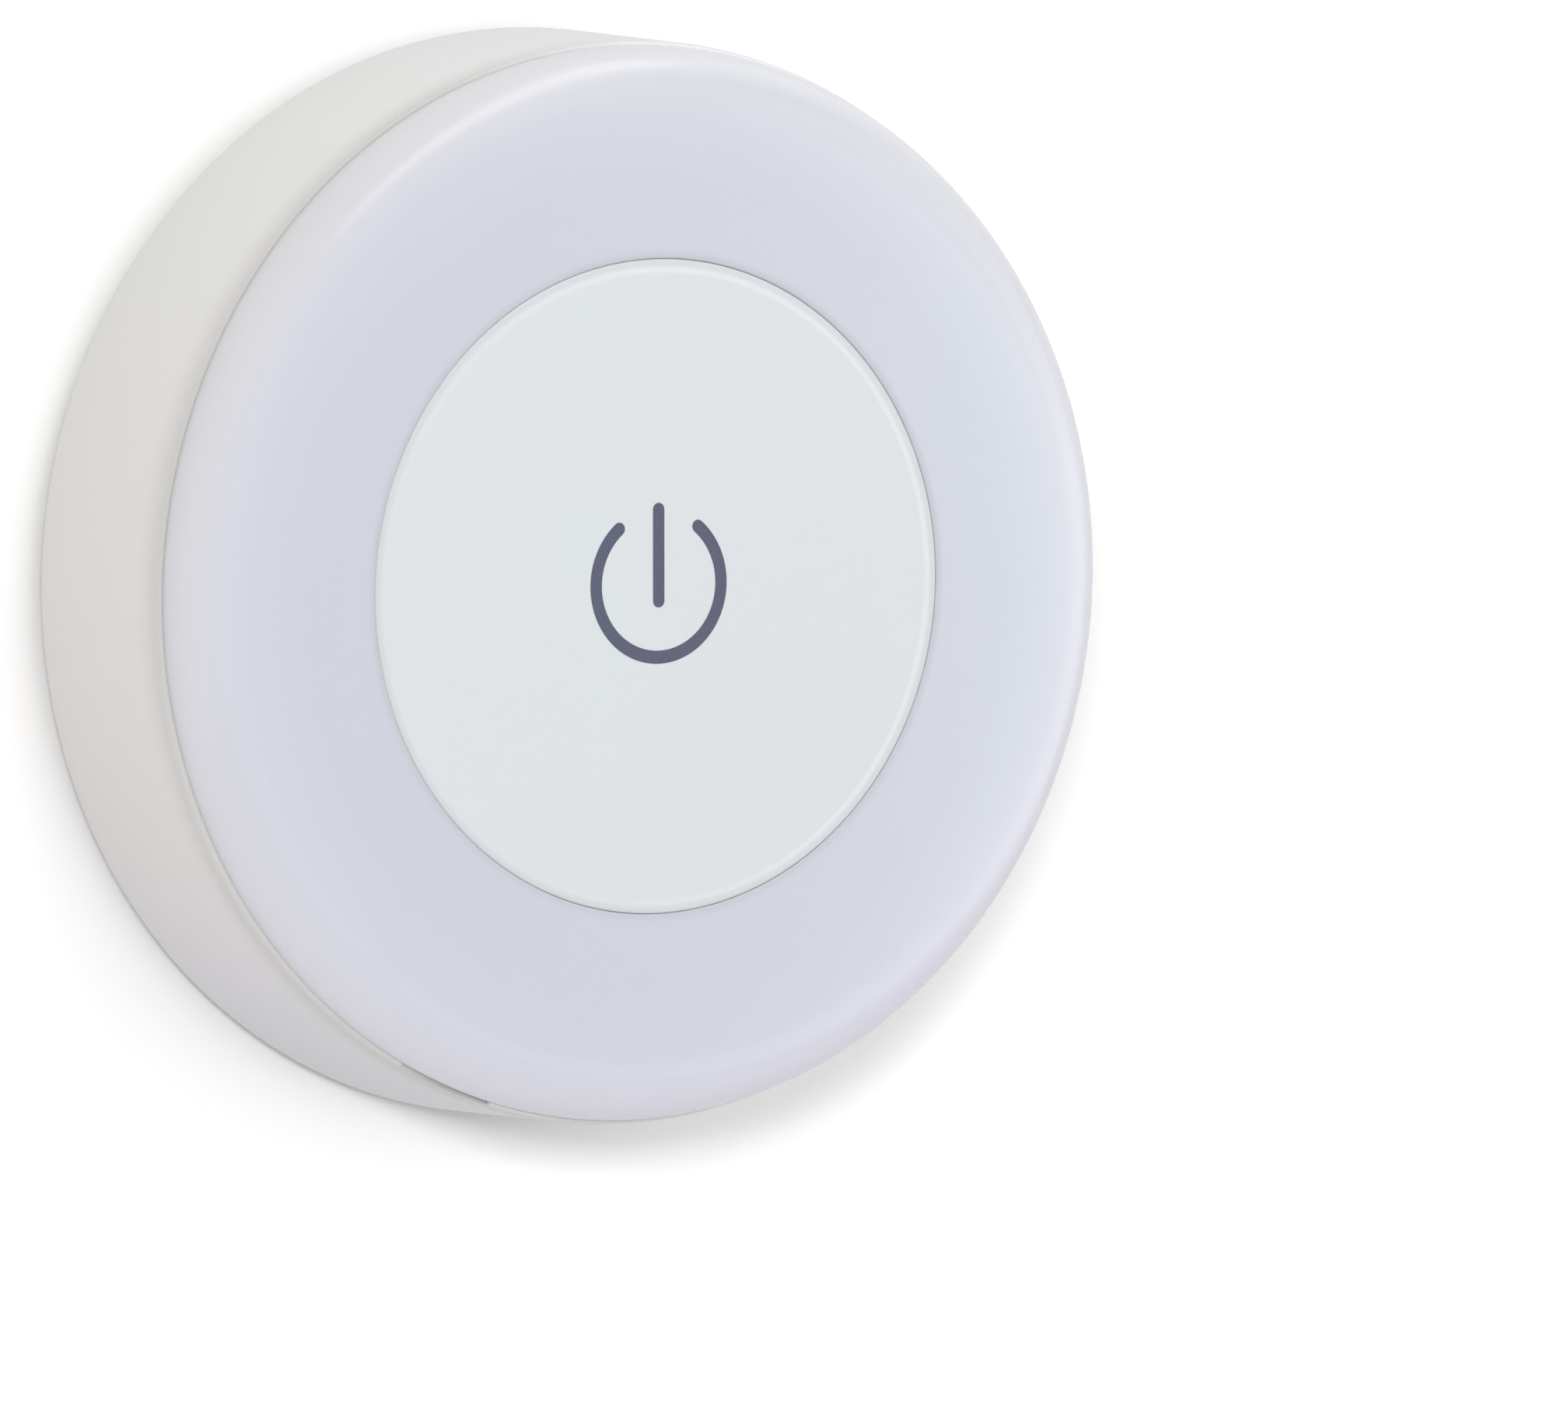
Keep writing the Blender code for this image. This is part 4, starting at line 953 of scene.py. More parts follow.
def contact_plate(name, side, low_place, high_place, tail_place):
    """A plate with rounded corners behind one cell or two, and its tail if it has one."""
    left, right = low_place - CONTACT_HALF_WIDTH, high_place + CONTACT_HALF_WIDTH
    back, front = CELL_AXIS - CONTACT_HALF_HEIGHT, CELL_AXIS + CONTACT_HALF_HEIGHT
    corner = CONTACT_CORNER
    outline = [
        *arc((left + corner, back + corner), corner, -math.pi, -QUARTER_TURN, 5),
        *back_round(right, back, corner, 5),
        *front_round(right, front, corner, 5),
    ]
    if tail_place is not None:
        tail = (
            (TAIL_HALF, front),
            (TAIL_HALF, TAIL_FRONT - TAIL_HALF / 2),
            (TAIL_HALF / 2, TAIL_FRONT),
        )
        outline += [(tail_place + across, height) for across, height in tail]
        outline += [(tail_place - across, height) for across, height in tail[::-1]]
    outline += arc((left + corner, front - corner), corner, QUARTER_TURN, math.pi, 5)
    points = [on_lamp(side * CONTACT_INNER, up, height) for up, height in outline]
    made = plate(name, points, side * (CONTACT_OUTER - CONTACT_INNER), 0, 0)
    round_edges(made, CONTACT_EDGE)
    return made


def dimple(side, place):
    """The round bump that touches a cell's plus end."""
    dome = [
        (DIMPLE_RADIUS * math.sin(angle), DIMPLE_HEIGHT * math.cos(angle))
        for angle in [QUARTER_TURN * step / 6 for step in range(7)]
    ]
    outline = [*dome, (DIMPLE_RADIUS, -DIMPLE_HEIGHT), (0, -DIMPLE_HEIGHT)]
    made = turned("dimple", outline, DIMPLE_STEPS)
    lay_down(made, side * CONTACT_INNER, place, -side)
    return made


first, second, third = CELL_PLACES
for node, side, low_place, high_place, tail_place, dimple_place in (
    ("contact_minus", -1, first, first, first, None),
    ("contact_bridge_left", -1, second, third, None, second),
    ("contact_bridge_right", 1, first, second, None, first),
    ("contact_plus", 1, third, third, third, third),
):
    made = contact_plate(f"{node}_plate", side, low_place, high_place, tail_place)
    if dimple_place is not None:
        combine(made, [dimple(side, dimple_place)])
    fit(made, "lamp", "plated_steel", steel_finish, node)
for index, place in enumerate(CELL_PLACES):
    node = f"cell_spring_{index + 1}"
    side = -1 if index % 2 == 0 else 1
    spring_low, spring_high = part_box(node)
    length = spring_high.x - spring_low.x
    start = on_lamp(spring_low.x if side < 0 else spring_high.x, place, CELL_AXIS)
    name = f"cell_spring_wire_{index + 1}"
    radii = (CELL_SPRING_WIDE, CELL_SPRING_NARROW)
    made = coil(name, start, (-side, 0, 0), length, *radii, CELL_SPRING_TURNS)
    fit(made, "lamp", "plated_steel", steel_finish, node)


# Circuit board
# A round fibreglass board under white lacquer, which helps to spread the light. Copper traces show
# through it in two rings, and four screws hold it on the housing's bosses.
BOARD_BACK = 16.5 * MM
BOARD_FRONT = 17.5 * MM
BOARD_RADIUS = 38.2 * MM
BOARD_EDGE = 0.08 * MM
ON_BOARD = 17.8 * MM
HOLE_RADIUS = 1.3 * MM
HOLE_STEPS = 40
LIGHT_CIRCLE = 32.62 * MM
LIGHT_COUNT = 8
TRACE_OFFSET = 2.7 * MM
TRACE_HALF_WIDTH = 0.35 * MM
TRACE_BLUR = 0.08 * MM
BOARD_COLOURS = (srgb(232, 236, 232), srgb(226, 231, 228))
TRACE_COLOUR = srgb(214, 220, 208)
EDGE_COLOUR = srgb(206, 200, 160)

board = turned(
    "lamp_board",
    [
        (0, BOARD_BACK),
        (BOARD_RADIUS - BOARD_EDGE, BOARD_BACK),
        (BOARD_RADIUS, BOARD_BACK + BOARD_EDGE),
        (BOARD_RADIUS, BOARD_FRONT - BOARD_EDGE),
        (BOARD_RADIUS - BOARD_EDGE, BOARD_FRONT),
        (0, BOARD_FRONT),
    ],
)
hole = rod(HOLE_RADIUS, BOARD_BACK - OVERRUN, BOARD_FRONT + OVERRUN)
cuts = [shifted(turned("screw hole", hole, HOLE_STEPS), *place) for place in screw_places]
for side in (-1, 1):
    cuts.append(tail_slot(side, BOARD_BACK, BOARD_FRONT))
combine(board, cuts, "DIFFERENCE")

board_finish, point, shader = new_finish("white board lacquer", {"IOR": 1.5})
radius = directions(point)[3]
off_trace = ((radius - LIGHT_CIRCLE).size() - TRACE_OFFSET).size()
trace = 1 - off_trace.ramp(TRACE_HALF_WIDTH, TRACE_HALF_WIDTH + TRACE_BLUR)
weave = noise(point, 0.5 * MM)
lacquer = noise(point, 12 * MM).between(*BOARD_COLOURS)
edge = radius.ramp(BOARD_RADIUS - 2 * BOARD_EDGE, BOARD_RADIUS - BOARD_EDGE)
colour = edge.between((trace * 0.6).between(lacquer, TRACE_COLOUR), EDGE_COLOUR)
vary(shader, colour, 0.3 + weave * 0.12 + edge * 0.3, trace + weave * 0.1, 0.03 * MM)
fit(board, "lamp", "board_white", board_finish, "circuit_board")


# Lights
# Eight surface-mounted lights in a ring under the diffuser: a white moulded frame with a sunk
# window, yellow phosphor resin in it, and a tinned terminal at either end, soldered to the board.
LIGHT_HALF_LENGTH = 1.75 * MM
LIGHT_HALF_WIDTH = 1.4 * MM
LIGHT_HEIGHT = 0.8 * MM
LIGHT_FRAME = 0.4 * MM
LIGHT_WELL = 0.3 * MM
LIGHT_EDGE = 0.08 * MM
WELL_TAPER = 0.85
RESIN_SUNK = 0.08 * MM
RESIN_TAPER = 0.6
TERMINAL_HALF_WIDTH = 1.1 * MM
TERMINAL_REACH = 0.12 * MM
TERMINAL_HEIGHT = 0.35 * MM
FILLET_REACH = 0.6 * MM
FRAME_COLOURS = (srgb(236, 236, 230), srgb(228, 228, 222))
PHOSPHOR_COLOURS = (srgb(238, 212, 96), srgb(228, 196, 70))
SOLDER_COLOURS = (srgb(205, 205, 203), srgb(176, 176, 176))


def pick(made, kind, test):
    """Goes into edit mode with only those vertices or faces selected that pass a test."""
    edit(kind, "DESELECT")
    leave()
    data = made.data
    for part in {"VERT": data.vertices, "FACE": data.polygons}[kind]:
        part.select = test(part)
    bpy.ops.object.mode_set(mode="EDIT")


def sunk_block(name, half_width, half_length, back, front, border, depth, taper, segments):
    """A block with rounded edges whose front face is sunk inside a border."""
    width, length = (-half_width, half_width), (-half_length, half_length)
    made = block(name, width, length, (back, front))
    pick(made, "FACE", lambda face: face.normal.y < -0.9 and abs(-face.center.y - front) < WELD)
    bpy.ops.mesh.inset(thickness=border)
    stretch(*on_lamp(0, 0, -depth))
    bpy.ops.transform.resize(value=(taper, 1, taper))
    leave()
    round_edges(made, LIGHT_EDGE, segments)
    return made


def soldered_ends(half_length, inner, outer, solder_height, top):
    """Both ends of what stands on the board, as seen from its side, with the sloping solder."""
    foot = half_length + FILLET_REACH
    outline = (
        (inner, BOARD_FRONT),
        (foot, BOARD_FRONT),
        (foot, BOARD_FRONT + TERMINAL_REACH / 2),
        (outer + TERMINAL_REACH, BOARD_FRONT + solder_height),
        (outer, ON_BOARD + top),
        (inner, ON_BOARD + top),
    )
    return [[(side * along, height) for along, height in outline] for side in (-1, 1)]


def light_ends():
    inner, outer = LIGHT_HALF_LENGTH - TERMINAL_REACH, LIGHT_HALF_LENGTH + TERMINAL_REACH
    sizes = (LIGHT_HALF_LENGTH, inner, outer, TERMINAL_HEIGHT / 2, TERMINAL_HEIGHT)
    shapes = []
    for outline in soldered_ends(*sizes):
        points = [on_lamp(-TERMINAL_HALF_WIDTH, up, height) for up, height in outline]
        shapes.append(plate("terminal", points, 2 * TERMINAL_HALF_WIDTH, 0, 0))
    made = join(shapes)
    round_edges(made, LIGHT_EDGE / 2)
    return made


def moulded_finish(name, colours, roughness, grain_size=0.3 * MM, grain_depth=0.004 * MM):
    """Plain plastic or resin with a faint grain and a slightly uneven colour."""
    made, point, shader = new_finish(name, {"IOR": 1.5})
    grain = noise(point, grain_size, 3.0)
    colour = noise(point, 12 * grain_size).between(*colours)
    vary(shader, colour, roughness + grain * 0.12, grain, grain_depth)
    return made


def turned_copy(made, angle, name):
    """A copy with its own mesh, turned round the lamp's axis."""
    return roll(put(name, made.data.copy()), angle)


frame_finish = moulded_finish("light frame resin", FRAME_COLOURS, 0.3)
phosphor_finish = moulded_finish("phosphor resin", PHOSPHOR_COLOURS, 0.22, 0.08 * MM, 0.003 * MM)
solder_finish, point, shader = new_finish("solder", {"Metallic": 1.0})
grain = noise(point, 0.2 * MM, 4.0)
vary(shader, grain.between(*SOLDER_COLOURS), 0.22 + grain * 0.2, grain, 0.01 * MM)

light_front = ON_BOARD + LIGHT_HEIGHT
frame_sizes = (LIGHT_HALF_WIDTH, LIGHT_HALF_LENGTH, ON_BOARD, light_front, LIGHT_FRAME)
window_frame = sunk_block("light frame", *frame_sizes, LIGHT_WELL, WELL_TAPER, 2)
half_width = LIGHT_HALF_WIDTH - LIGHT_FRAME
resin_heights = (light_front - LIGHT_WELL, light_front - RESIN_SUNK)
resin_sizes = (half_width, LIGHT_HALF_LENGTH - LIGHT_FRAME, *resin_heights, half_width / 3)
resin = sunk_block("light resin", *resin_sizes, RESIN_SUNK / 2, RESIN_TAPER, 3)
for kind, pattern, slot, finish in (
    ("frame", window_frame, "board_white", frame_finish),
    ("resin", resin, "light_face", phosphor_finish),
    ("ends", light_ends(), "plated_steel", solder_finish),
):
    shifted(pattern, LIGHT_CIRCLE, 0)
    for index in range(LIGHT_COUNT):
        number = index + 1
        made = turned_copy(pattern, FULL_TURN * index / LIGHT_COUNT, f"light_{kind}_{number}")
        fit(made, "lamp", slot, finish, f"light_{number}")
    bpy.data.objects.remove(pattern, do_unlink=True)


# Resistors and solder joints
# Two chip resistors: a dark glazed body with tinned ends. Cones of solder hold the two contact
# tails where they come through the board.
RESISTOR_PLACE = 17.0 * MM
RESISTOR_HALF_LENGTH = 1.6 * MM
RESISTOR_HALF_WIDTH = 0.8 * MM
RESISTOR_HEIGHT = 0.6 * MM
RESISTOR_CAP = 0.45 * MM
RESISTOR_EDGE = 0.06 * MM
GLAZE_COLOURS = (srgb(38, 38, 42), srgb(50, 50, 54))
JOINT_RADIUS = 1.7 * MM
JOINT_HEIGHT = 0.9 * MM
JOINT_SHAPE = ((1, 0), (1, 1 / 12), (0.78, 0.2), (0.6, 0.45), (0.48, 0.8), (0.3, 1), (0, 1))
JOINT_STEPS = 40

glaze_finish = moulded_finish("dark glaze", GLAZE_COLOURS, 0.25, 0.1 * MM)
cap_start = RESISTOR_HALF_LENGTH - RESISTOR_CAP
outlines = soldered_ends(
    RESISTOR_HALF_LENGTH, cap_start, RESISTOR_HALF_LENGTH, TERMINAL_HEIGHT, RESISTOR_HEIGHT
)
for number, side in ((1, 1), (2, -1)):
    width = (-RESISTOR_HALF_WIDTH, RESISTOR_HALF_WIDTH)
    heights = (ON_BOARD, ON_BOARD + RESISTOR_HEIGHT)
    glaze = block(f"resistor_glaze_{number}", (-cap_start, cap_start), width, heights)
    shapes = []
    for outline in outlines:
        points = [on_lamp(across, -RESISTOR_HALF_WIDTH, height) for across, height in outline]
        shapes.append(plate("resistor end", points, 0, 0, 2 * RESISTOR_HALF_WIDTH))
    tinned = join(shapes)
    tinned.name = f"resistor_ends_{number}"
    for made, slot, finish in (
        (glaze, "dark_plastic", glaze_finish),
        (tinned, "plated_steel", solder_finish),
    ):
        round_edges(made, RESISTOR_EDGE)
        shifted(made, 0, side * RESISTOR_PLACE)
        fit(made, "lamp", slot, finish, f"resistor_{number}")

joint_outline = [
    (JOINT_RADIUS * radius, BOARD_FRONT + JOINT_HEIGHT * height) for radius, height in JOINT_SHAPE
]
tail_across = (CONTACT_INNER + CONTACT_OUTER) / 2
for name, side in (("tail_solder_minus", -1), ("tail_solder_plus", 1)):
    made = turned(name, [(0, BOARD_FRONT), *joint_outline], JOINT_STEPS)
    shifted(made, side * tail_across, side * CELL_PITCH)
    fit(made, "lamp", "plated_steel", solder_finish)


# Board screws
# Four pan-head screws with a cross recess cut their own thread in the housing's bosses.
SCREW_HEAD_RADIUS = 2.0 * MM
SCREW_HEAD_HEIGHT = 1.3 * MM
SCREW_HEAD_ROUND = 0.8 * MM
SCREW_SHANK = 5.6 * MM
SCREW_ROOT_RADIUS = 0.78 * MM
SCREW_THREAD_RADIUS = 1.0 * MM
SCREW_PITCH = 0.5 * MM
SCREW_THREADS = 9
SCREW_POINT = 0.9 * MM
SCREW_STEPS = 40
RECESS_HALF_LENGTH = 1.15 * MM
RECESS_HALF_WIDTH = 0.2 * MM
RECESS_DEPTH = 0.8 * MM
RECESS_TAPER = 0.45

screw_tip = ON_BOARD - SCREW_SHANK
thread_start = screw_tip + SCREW_POINT
head_front = ON_BOARD + SCREW_HEAD_HEIGHT
root = SCREW_ROOT_RADIUS
screw_outline = [(0, screw_tip), (root / 4, screw_tip), (root, thread_start)]
for index in range(SCREW_THREADS):
    foot = thread_start + index * SCREW_PITCH
    screw_outline += [
        (root, foot + SCREW_PITCH / 3),
        (SCREW_THREAD_RADIUS, foot + SCREW_PITCH / 2),
        (root, foot + SCREW_PITCH * 2 / 3),
    ]
screw_outline += [
    (root, ON_BOARD),
    (SCREW_HEAD_RADIUS - RESISTOR_EDGE, ON_BOARD),
    (SCREW_HEAD_RADIUS, ON_BOARD + RESISTOR_EDGE),
    *front_round(SCREW_HEAD_RADIUS, head_front, SCREW_HEAD_ROUND, 6),
    (0, head_front),
]
screw = turned("screw", screw_outline, SCREW_STEPS)
recess = []
recess_floor = head_front - RECESS_DEPTH
long_side = (-RECESS_HALF_LENGTH, RECESS_HALF_LENGTH)
short_side = (-RECESS_HALF_WIDTH, RECESS_HALF_WIDTH)
for across, up in ((long_side, short_side), (short_side, long_side)):
    made = block("recess", across, up, (recess_floor, head_front + OVERRUN))
    pick(made, "VERT", lambda vertex: abs(-vertex.co.y - recess_floor) < WELD)
    bpy.ops.transform.resize(value=(RECESS_TAPER, 1, RECESS_TAPER))
    leave()
    recess.append(made)
combine(screw, recess, "DIFFERENCE")
for index, place in enumerate(screw_places):
    made = turned_copy(screw, SCREW_ANGLES[index] / 3, f"pan_head_screw_{index + 1}")
    shifted(made, *place)
    fit(made, "lamp", "plated_steel", steel_finish, f"board_screw_{index + 1}")
bpy.data.objects.remove(screw, do_unlink=True)


# Switch
# A small latching push switch: a black moulded base, a steel cover folded over it and riveted at
# its corners, and four legs soldered to the board. The white plunger stands in its round opening.
SWITCH_HALF = 3.0 * MM
SWITCH_HEIGHT = 2.4 * MM
SWITCH_EDGE = 0.25 * MM
SWITCH_COVER = 0.3 * MM
SWITCH_OPENING = 1.9 * MM
SWITCH_FLOOR = 0.7 * MM
SWITCH_STEPS = 48
SWITCH_COLOURS = (srgb(36, 36, 38), srgb(46, 46, 48))
RIVET_RADIUS = 0.35 * MM
RIVET_HEIGHT = 0.12 * MM
RIVET_PLACE = 2.25 * MM
RIVET_STEPS = 20
LEG_HALF_WIDTH = 0.4 * MM
LEG_REACH = 1.1 * MM
LEG_THICKNESS = 0.25 * MM
LEG_OUT = 1.0 * MM
LEG_PLACE = 2.25 * MM
PLUNGER_ROUND = 0.25 * MM
PLUNGER_COLOURS = (srgb(236, 234, 226), srgb(228, 226, 218))

switch_front = ON_BOARD + SWITCH_HEIGHT - RIVET_HEIGHT
cover_foot = switch_front - SWITCH_COVER
square = (-SWITCH_HALF, SWITCH_HALF)
base = block("switch_base", square, square, (ON_BOARD, cover_foot))
round_edges(base, SWITCH_EDGE, 3)
steel_cover = block("switch_cover", square, square, (cover_foot, switch_front))
round_edges(steel_cover, SWITCH_COVER / 3)
opening = rod(SWITCH_OPENING, ON_BOARD + SWITCH_FLOOR, switch_front + OVERRUN)
for made in (base, steel_cover):
    combine(made, [turned("opening", opening, SWITCH_STEPS)], "DIFFERENCE")
rivet = [
    (0, switch_front - RIVET_HEIGHT),
    (RIVET_RADIUS, switch_front - RIVET_HEIGHT),
    (RIVET_RADIUS, switch_front + RIVET_HEIGHT / 2),
    (RIVET_RADIUS * 0.6, switch_front + RIVET_HEIGHT),
    (0, switch_front + RIVET_HEIGHT),
]
rivets = [
    shifted(turned("rivet", rivet, RIVET_STEPS), across, up)
    for across in (-RIVET_PLACE, RIVET_PLACE)
    for up in (-RIVET_PLACE, RIVET_PLACE)
]
combine(steel_cover, rivets)
leg = (
    (SWITCH_HALF - SWITCH_EDGE, ON_BOARD + LEG_OUT),
    (SWITCH_HALF + LEG_THICKNESS, ON_BOARD + LEG_OUT),
    (SWITCH_HALF + LEG_THICKNESS * 2, BOARD_FRONT + LEG_THICKNESS),
    (SWITCH_HALF + LEG_REACH, BOARD_FRONT + LEG_THICKNESS),
    (SWITCH_HALF + LEG_REACH, BOARD_FRONT),
    (SWITCH_HALF + LEG_THICKNESS, BOARD_FRONT),
    (SWITCH_HALF + LEG_THICKNESS / 2, ON_BOARD + LEG_OUT - LEG_THICKNESS),
    (SWITCH_HALF - SWITCH_EDGE, ON_BOARD + LEG_OUT - LEG_THICKNESS),
)
shapes = []
for side in (-1, 1):
    for place in (-LEG_PLACE, LEG_PLACE):
        points = [on_lamp(side * across, place - LEG_HALF_WIDTH, height) for across, height in leg]
        shapes.append(plate("leg", points, 0, 0, 2 * LEG_HALF_WIDTH))
legs = join(shapes)
legs.name = "switch_legs"
round_edges(legs, CONTACT_EDGE)
base_finish = moulded_finish("black moulding", SWITCH_COLOURS, 0.4)
fit(base, "lamp", "dark_plastic", base_finish, "switch_body")
fit(steel_cover, "lamp", "plated_steel", steel_finish, "switch_body")
fit(legs, "lamp", "plated_steel", steel_finish, "switch_body")

plunger_low, plunger_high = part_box("switch_plunger")
plunger_radius = plunger_high.x
plunger_front, plunger_back = -plunger_low.y, -plunger_high.y
plunger_outline = [
    (0, plunger_back),
    *back_round(plunger_radius, plunger_back, PLUNGER_ROUND, 4),
    *front_round(plunger_radius, plunger_front, PLUNGER_ROUND, 5),
    (0, plunger_front),
]
plunger = turned("plunger_stem", plunger_outline, SWITCH_STEPS)
plunger_finish = moulded_finish("plunger moulding", PLUNGER_COLOURS, 0.3)
fit(plunger, "button", "board_white", plunger_finish, "switch_plunger")


# Button spring
# A cylindrical spring of round wire stands round the switch and pushes the cap out.
BUTTON_SPRING_TURNS = 2.2

spring_low, spring_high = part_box("button_spring")
spring_radius = spring_high.z - WIRE_RADIUS
spring_length = -spring_low.y - ON_BOARD
foot, forward = on_lamp(0, 0, ON_BOARD), on_lamp(0, 0, 1)
radii = (spring_radius, spring_radius)
made = coil("button_spring_wire", foot, forward, spring_length, *radii, BUTTON_SPRING_TURNS)
fit(made, "lamp", "plated_steel", steel_finish, "button_spring")
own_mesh(made)


# Diffuser
# A milky plastic ring with a full round outer edge. It lets the light through and hides the board.
# Its skirt snaps into the housing's groove, and its collar guides the button.
EDGE_ROUND = 4.0 * MM
FACE_THICKNESS = 1.6 * MM
SKIRT_WALL = 1.4 * MM
COLLAR_BACK = 20.1 * MM
COLLAR_OUTER = 27.05 * MM
BORE_RADIUS = 25.62 * MM
BORE_ROUND = 0.12 * MM
INNER_ROUND = 1.7 * MM
SEAM = 0.03 * MM
SEAM_ROUND = 0.1 * MM
FLAT_MARGIN = 0.4 * MM
BORE_SHADE = 0.7 * MM
SNAP_COUNT = 4
SNAP_ARC = math.radians(12)
SNAP_REACH = 0.7 * MM
MILKY = {
    "IOR": 1.5,
    "Subsurface Weight": 0.6,
    "Subsurface Radius": (1.0, 1.0, 1.0),
    "Subsurface Scale": 1.6 * MM,
}
# Colours with painted light and shade: the face lighter and bluer to the right and towards the rim,
# the rounded edge lit and reflecting by direction, shade on its upper right and by the bore.
INNER_COLOURS = (srgb(209, 211, 222), srgb(217, 221, 230))
OUTER_COLOURS = (srgb(213, 215, 225), srgb(223, 227, 235))
LOW_EDGE_LIGHT_COLOURS = (srgb(227, 226, 234), srgb(228, 227, 239))
HIGH_EDGE_LIGHT_COLOURS = (srgb(213, 212, 214), srgb(227, 228, 233))
BORE_SHADE_COLOUR = srgb(205, 207, 216)
EDGE_SHADE_COLOUR = srgb(211, 213, 219)
EDGE_SHADE_DIRECTION = math.radians(60)
EDGE_SHADE_SPREAD = (0.65, 0.98)
FACE_FADE = (-40 * MM, 40 * MM)
HIGH_EDGE_FADE = (-30 * MM, 14 * MM)
OUTWARD_RISE = (-42 * MM, -22 * MM)
OUTWARD = (2.6, 1)
ROUND = (1.3, 0.35)
EDGE_SHADE_START = (1.2, 0.7)
EDGE_SHADE_END = (0.6, 0.22)
EDGE_LEAN = 0.02

diffuser_low, diffuser_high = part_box("diffuser")
rim = diffuser_high.x
face_front = -diffuser_low.y
skirt_back = -diffuser_high.y
skirt_outer = bore - RUNNING_GAP
skirt_inner = skirt_outer - SKIRT_WALL
face_back = face_front - FACE_THICKNESS
seam_front = lip_front + SEAM
outline = [
    (BORE_RADIUS + BORE_ROUND + FLAT_MARGIN, face_front),
    (rim - EDGE_ROUND - FLAT_MARGIN, face_front),
    *arc((rim - EDGE_ROUND, face_front - EDGE_ROUND), EDGE_ROUND, QUARTER_TURN, 0, 24),
    *arc((rim - SEAM_ROUND, seam_front + SEAM_ROUND), SEAM_ROUND, 0, -QUARTER_TURN, 4),
    (skirt_outer, seam_front),
    (skirt_outer, skirt_back),
    (skirt_inner, skirt_back),
    *front_round(skirt_inner, face_back, INNER_ROUND, 8),
    (COLLAR_OUTER, face_back),
    (COLLAR_OUTER, COLLAR_BACK),
    (BORE_RADIUS, COLLAR_BACK),
    *arc((BORE_RADIUS + BORE_ROUND, face_front - BORE_ROUND), BORE_ROUND, math.pi, QUARTER_TURN, 5),
]
diffuser = turned("diffuser_ring", [*outline, outline[0]])
snaps = []
for index in range(SNAP_COUNT):
    span = around(FULL_TURN * (index + 0.5) / SNAP_COUNT, SNAP_ARC)
    radii = (skirt_outer - JOIN_DEPTH, skirt_outer + SNAP_REACH)
    snaps.append(ring_part(*radii, SNAP_BACK, SNAP_FRONT, *span))
combine(diffuser, snaps)



def near_rim(radius, fade):
    """Rises from one distance inside the rim to another, in rounds of the edge."""
    return radius.ramp(rim - fade[0] * EDGE_ROUND, rim - fade[1] * EDGE_ROUND)


diffuser_finish, point, shader = new_finish("milky plastic", MILKY)
across, up, height, radius = directions(point)
swirl = noise(point, 5 * MM, 3.0)
# Painted light: the face turns lighter and bluer towards the right, with a little random tone, and
# lighter towards the rim except at the bottom.
rightward_light = across.ramp(*FACE_FADE) + noise(point, 30 * MM) * 0.2 - 0.1
far_right = rightward_light * rightward_light
outward = near_rim(radius, OUTWARD) * up.ramp(*OUTWARD_RISE)
face_colour = outward.between(far_right.between(*INNER_COLOURS), far_right.between(*OUTER_COLOURS))
# Painted light and reflection on the rounded edge: greyer on the left, lighter at the top right
# where it mirrors the wall, light lilac at the bottom.
low_edge = rightward_light.between(*LOW_EDGE_LIGHT_COLOURS)
high_edge = across.ramp(*HIGH_EDGE_FADE).between(*HIGH_EDGE_LIGHT_COLOURS)
edge_light_colour = up.ramp(*FACE_FADE).between(low_edge, high_edge)
round_edge = near_rim(radius + across * EDGE_LEAN, ROUND)
# Painted shade: a band of the rounded edge at the upper right is darkened where the light falls on
# it most.
edge_shade_facing = (across * math.cos(EDGE_SHADE_DIRECTION) + up * math.sin(EDGE_SHADE_DIRECTION)) / radius
painted_edge_shade = near_rim(radius, EDGE_SHADE_START) - near_rim(radius, EDGE_SHADE_END)
painted_edge_shade = painted_edge_shade * edge_shade_facing.ramp(*EDGE_SHADE_SPREAD)
# Painted shade on the ring next to the gap round the button.
bore_shade_share = radius.ramp(BORE_RADIUS + BORE_SHADE, BORE_RADIUS + BORE_ROUND)
ring_colour = round_edge.between(bore_shade_share.between(face_colour, BORE_SHADE_COLOUR), edge_light_colour)
colour = painted_edge_shade.between(ring_colour, EDGE_SHADE_COLOUR)
vary(shader, colour, 0.2 + swirl * 0.05, swirl, 0.004 * MM)
fit(diffuser, "lamp", "milky_diffuser", diffuser_finish, "diffuser")


# Push button
# One opaque white moulding, flush with the ring: a cap with a fine rounded rim, a seat and ribs
# behind it, and four legs whose hooks catch behind the collar. A power symbol is printed on it.
CAP_RADIUS = 25.6 * MM
CAP_THICKNESS = 1.6 * MM
CAP_WALL = 1.2 * MM
CAP_RIM_DEPTH = 0.9 * MM
CAP_RIM_ROUND = 0.2 * MM
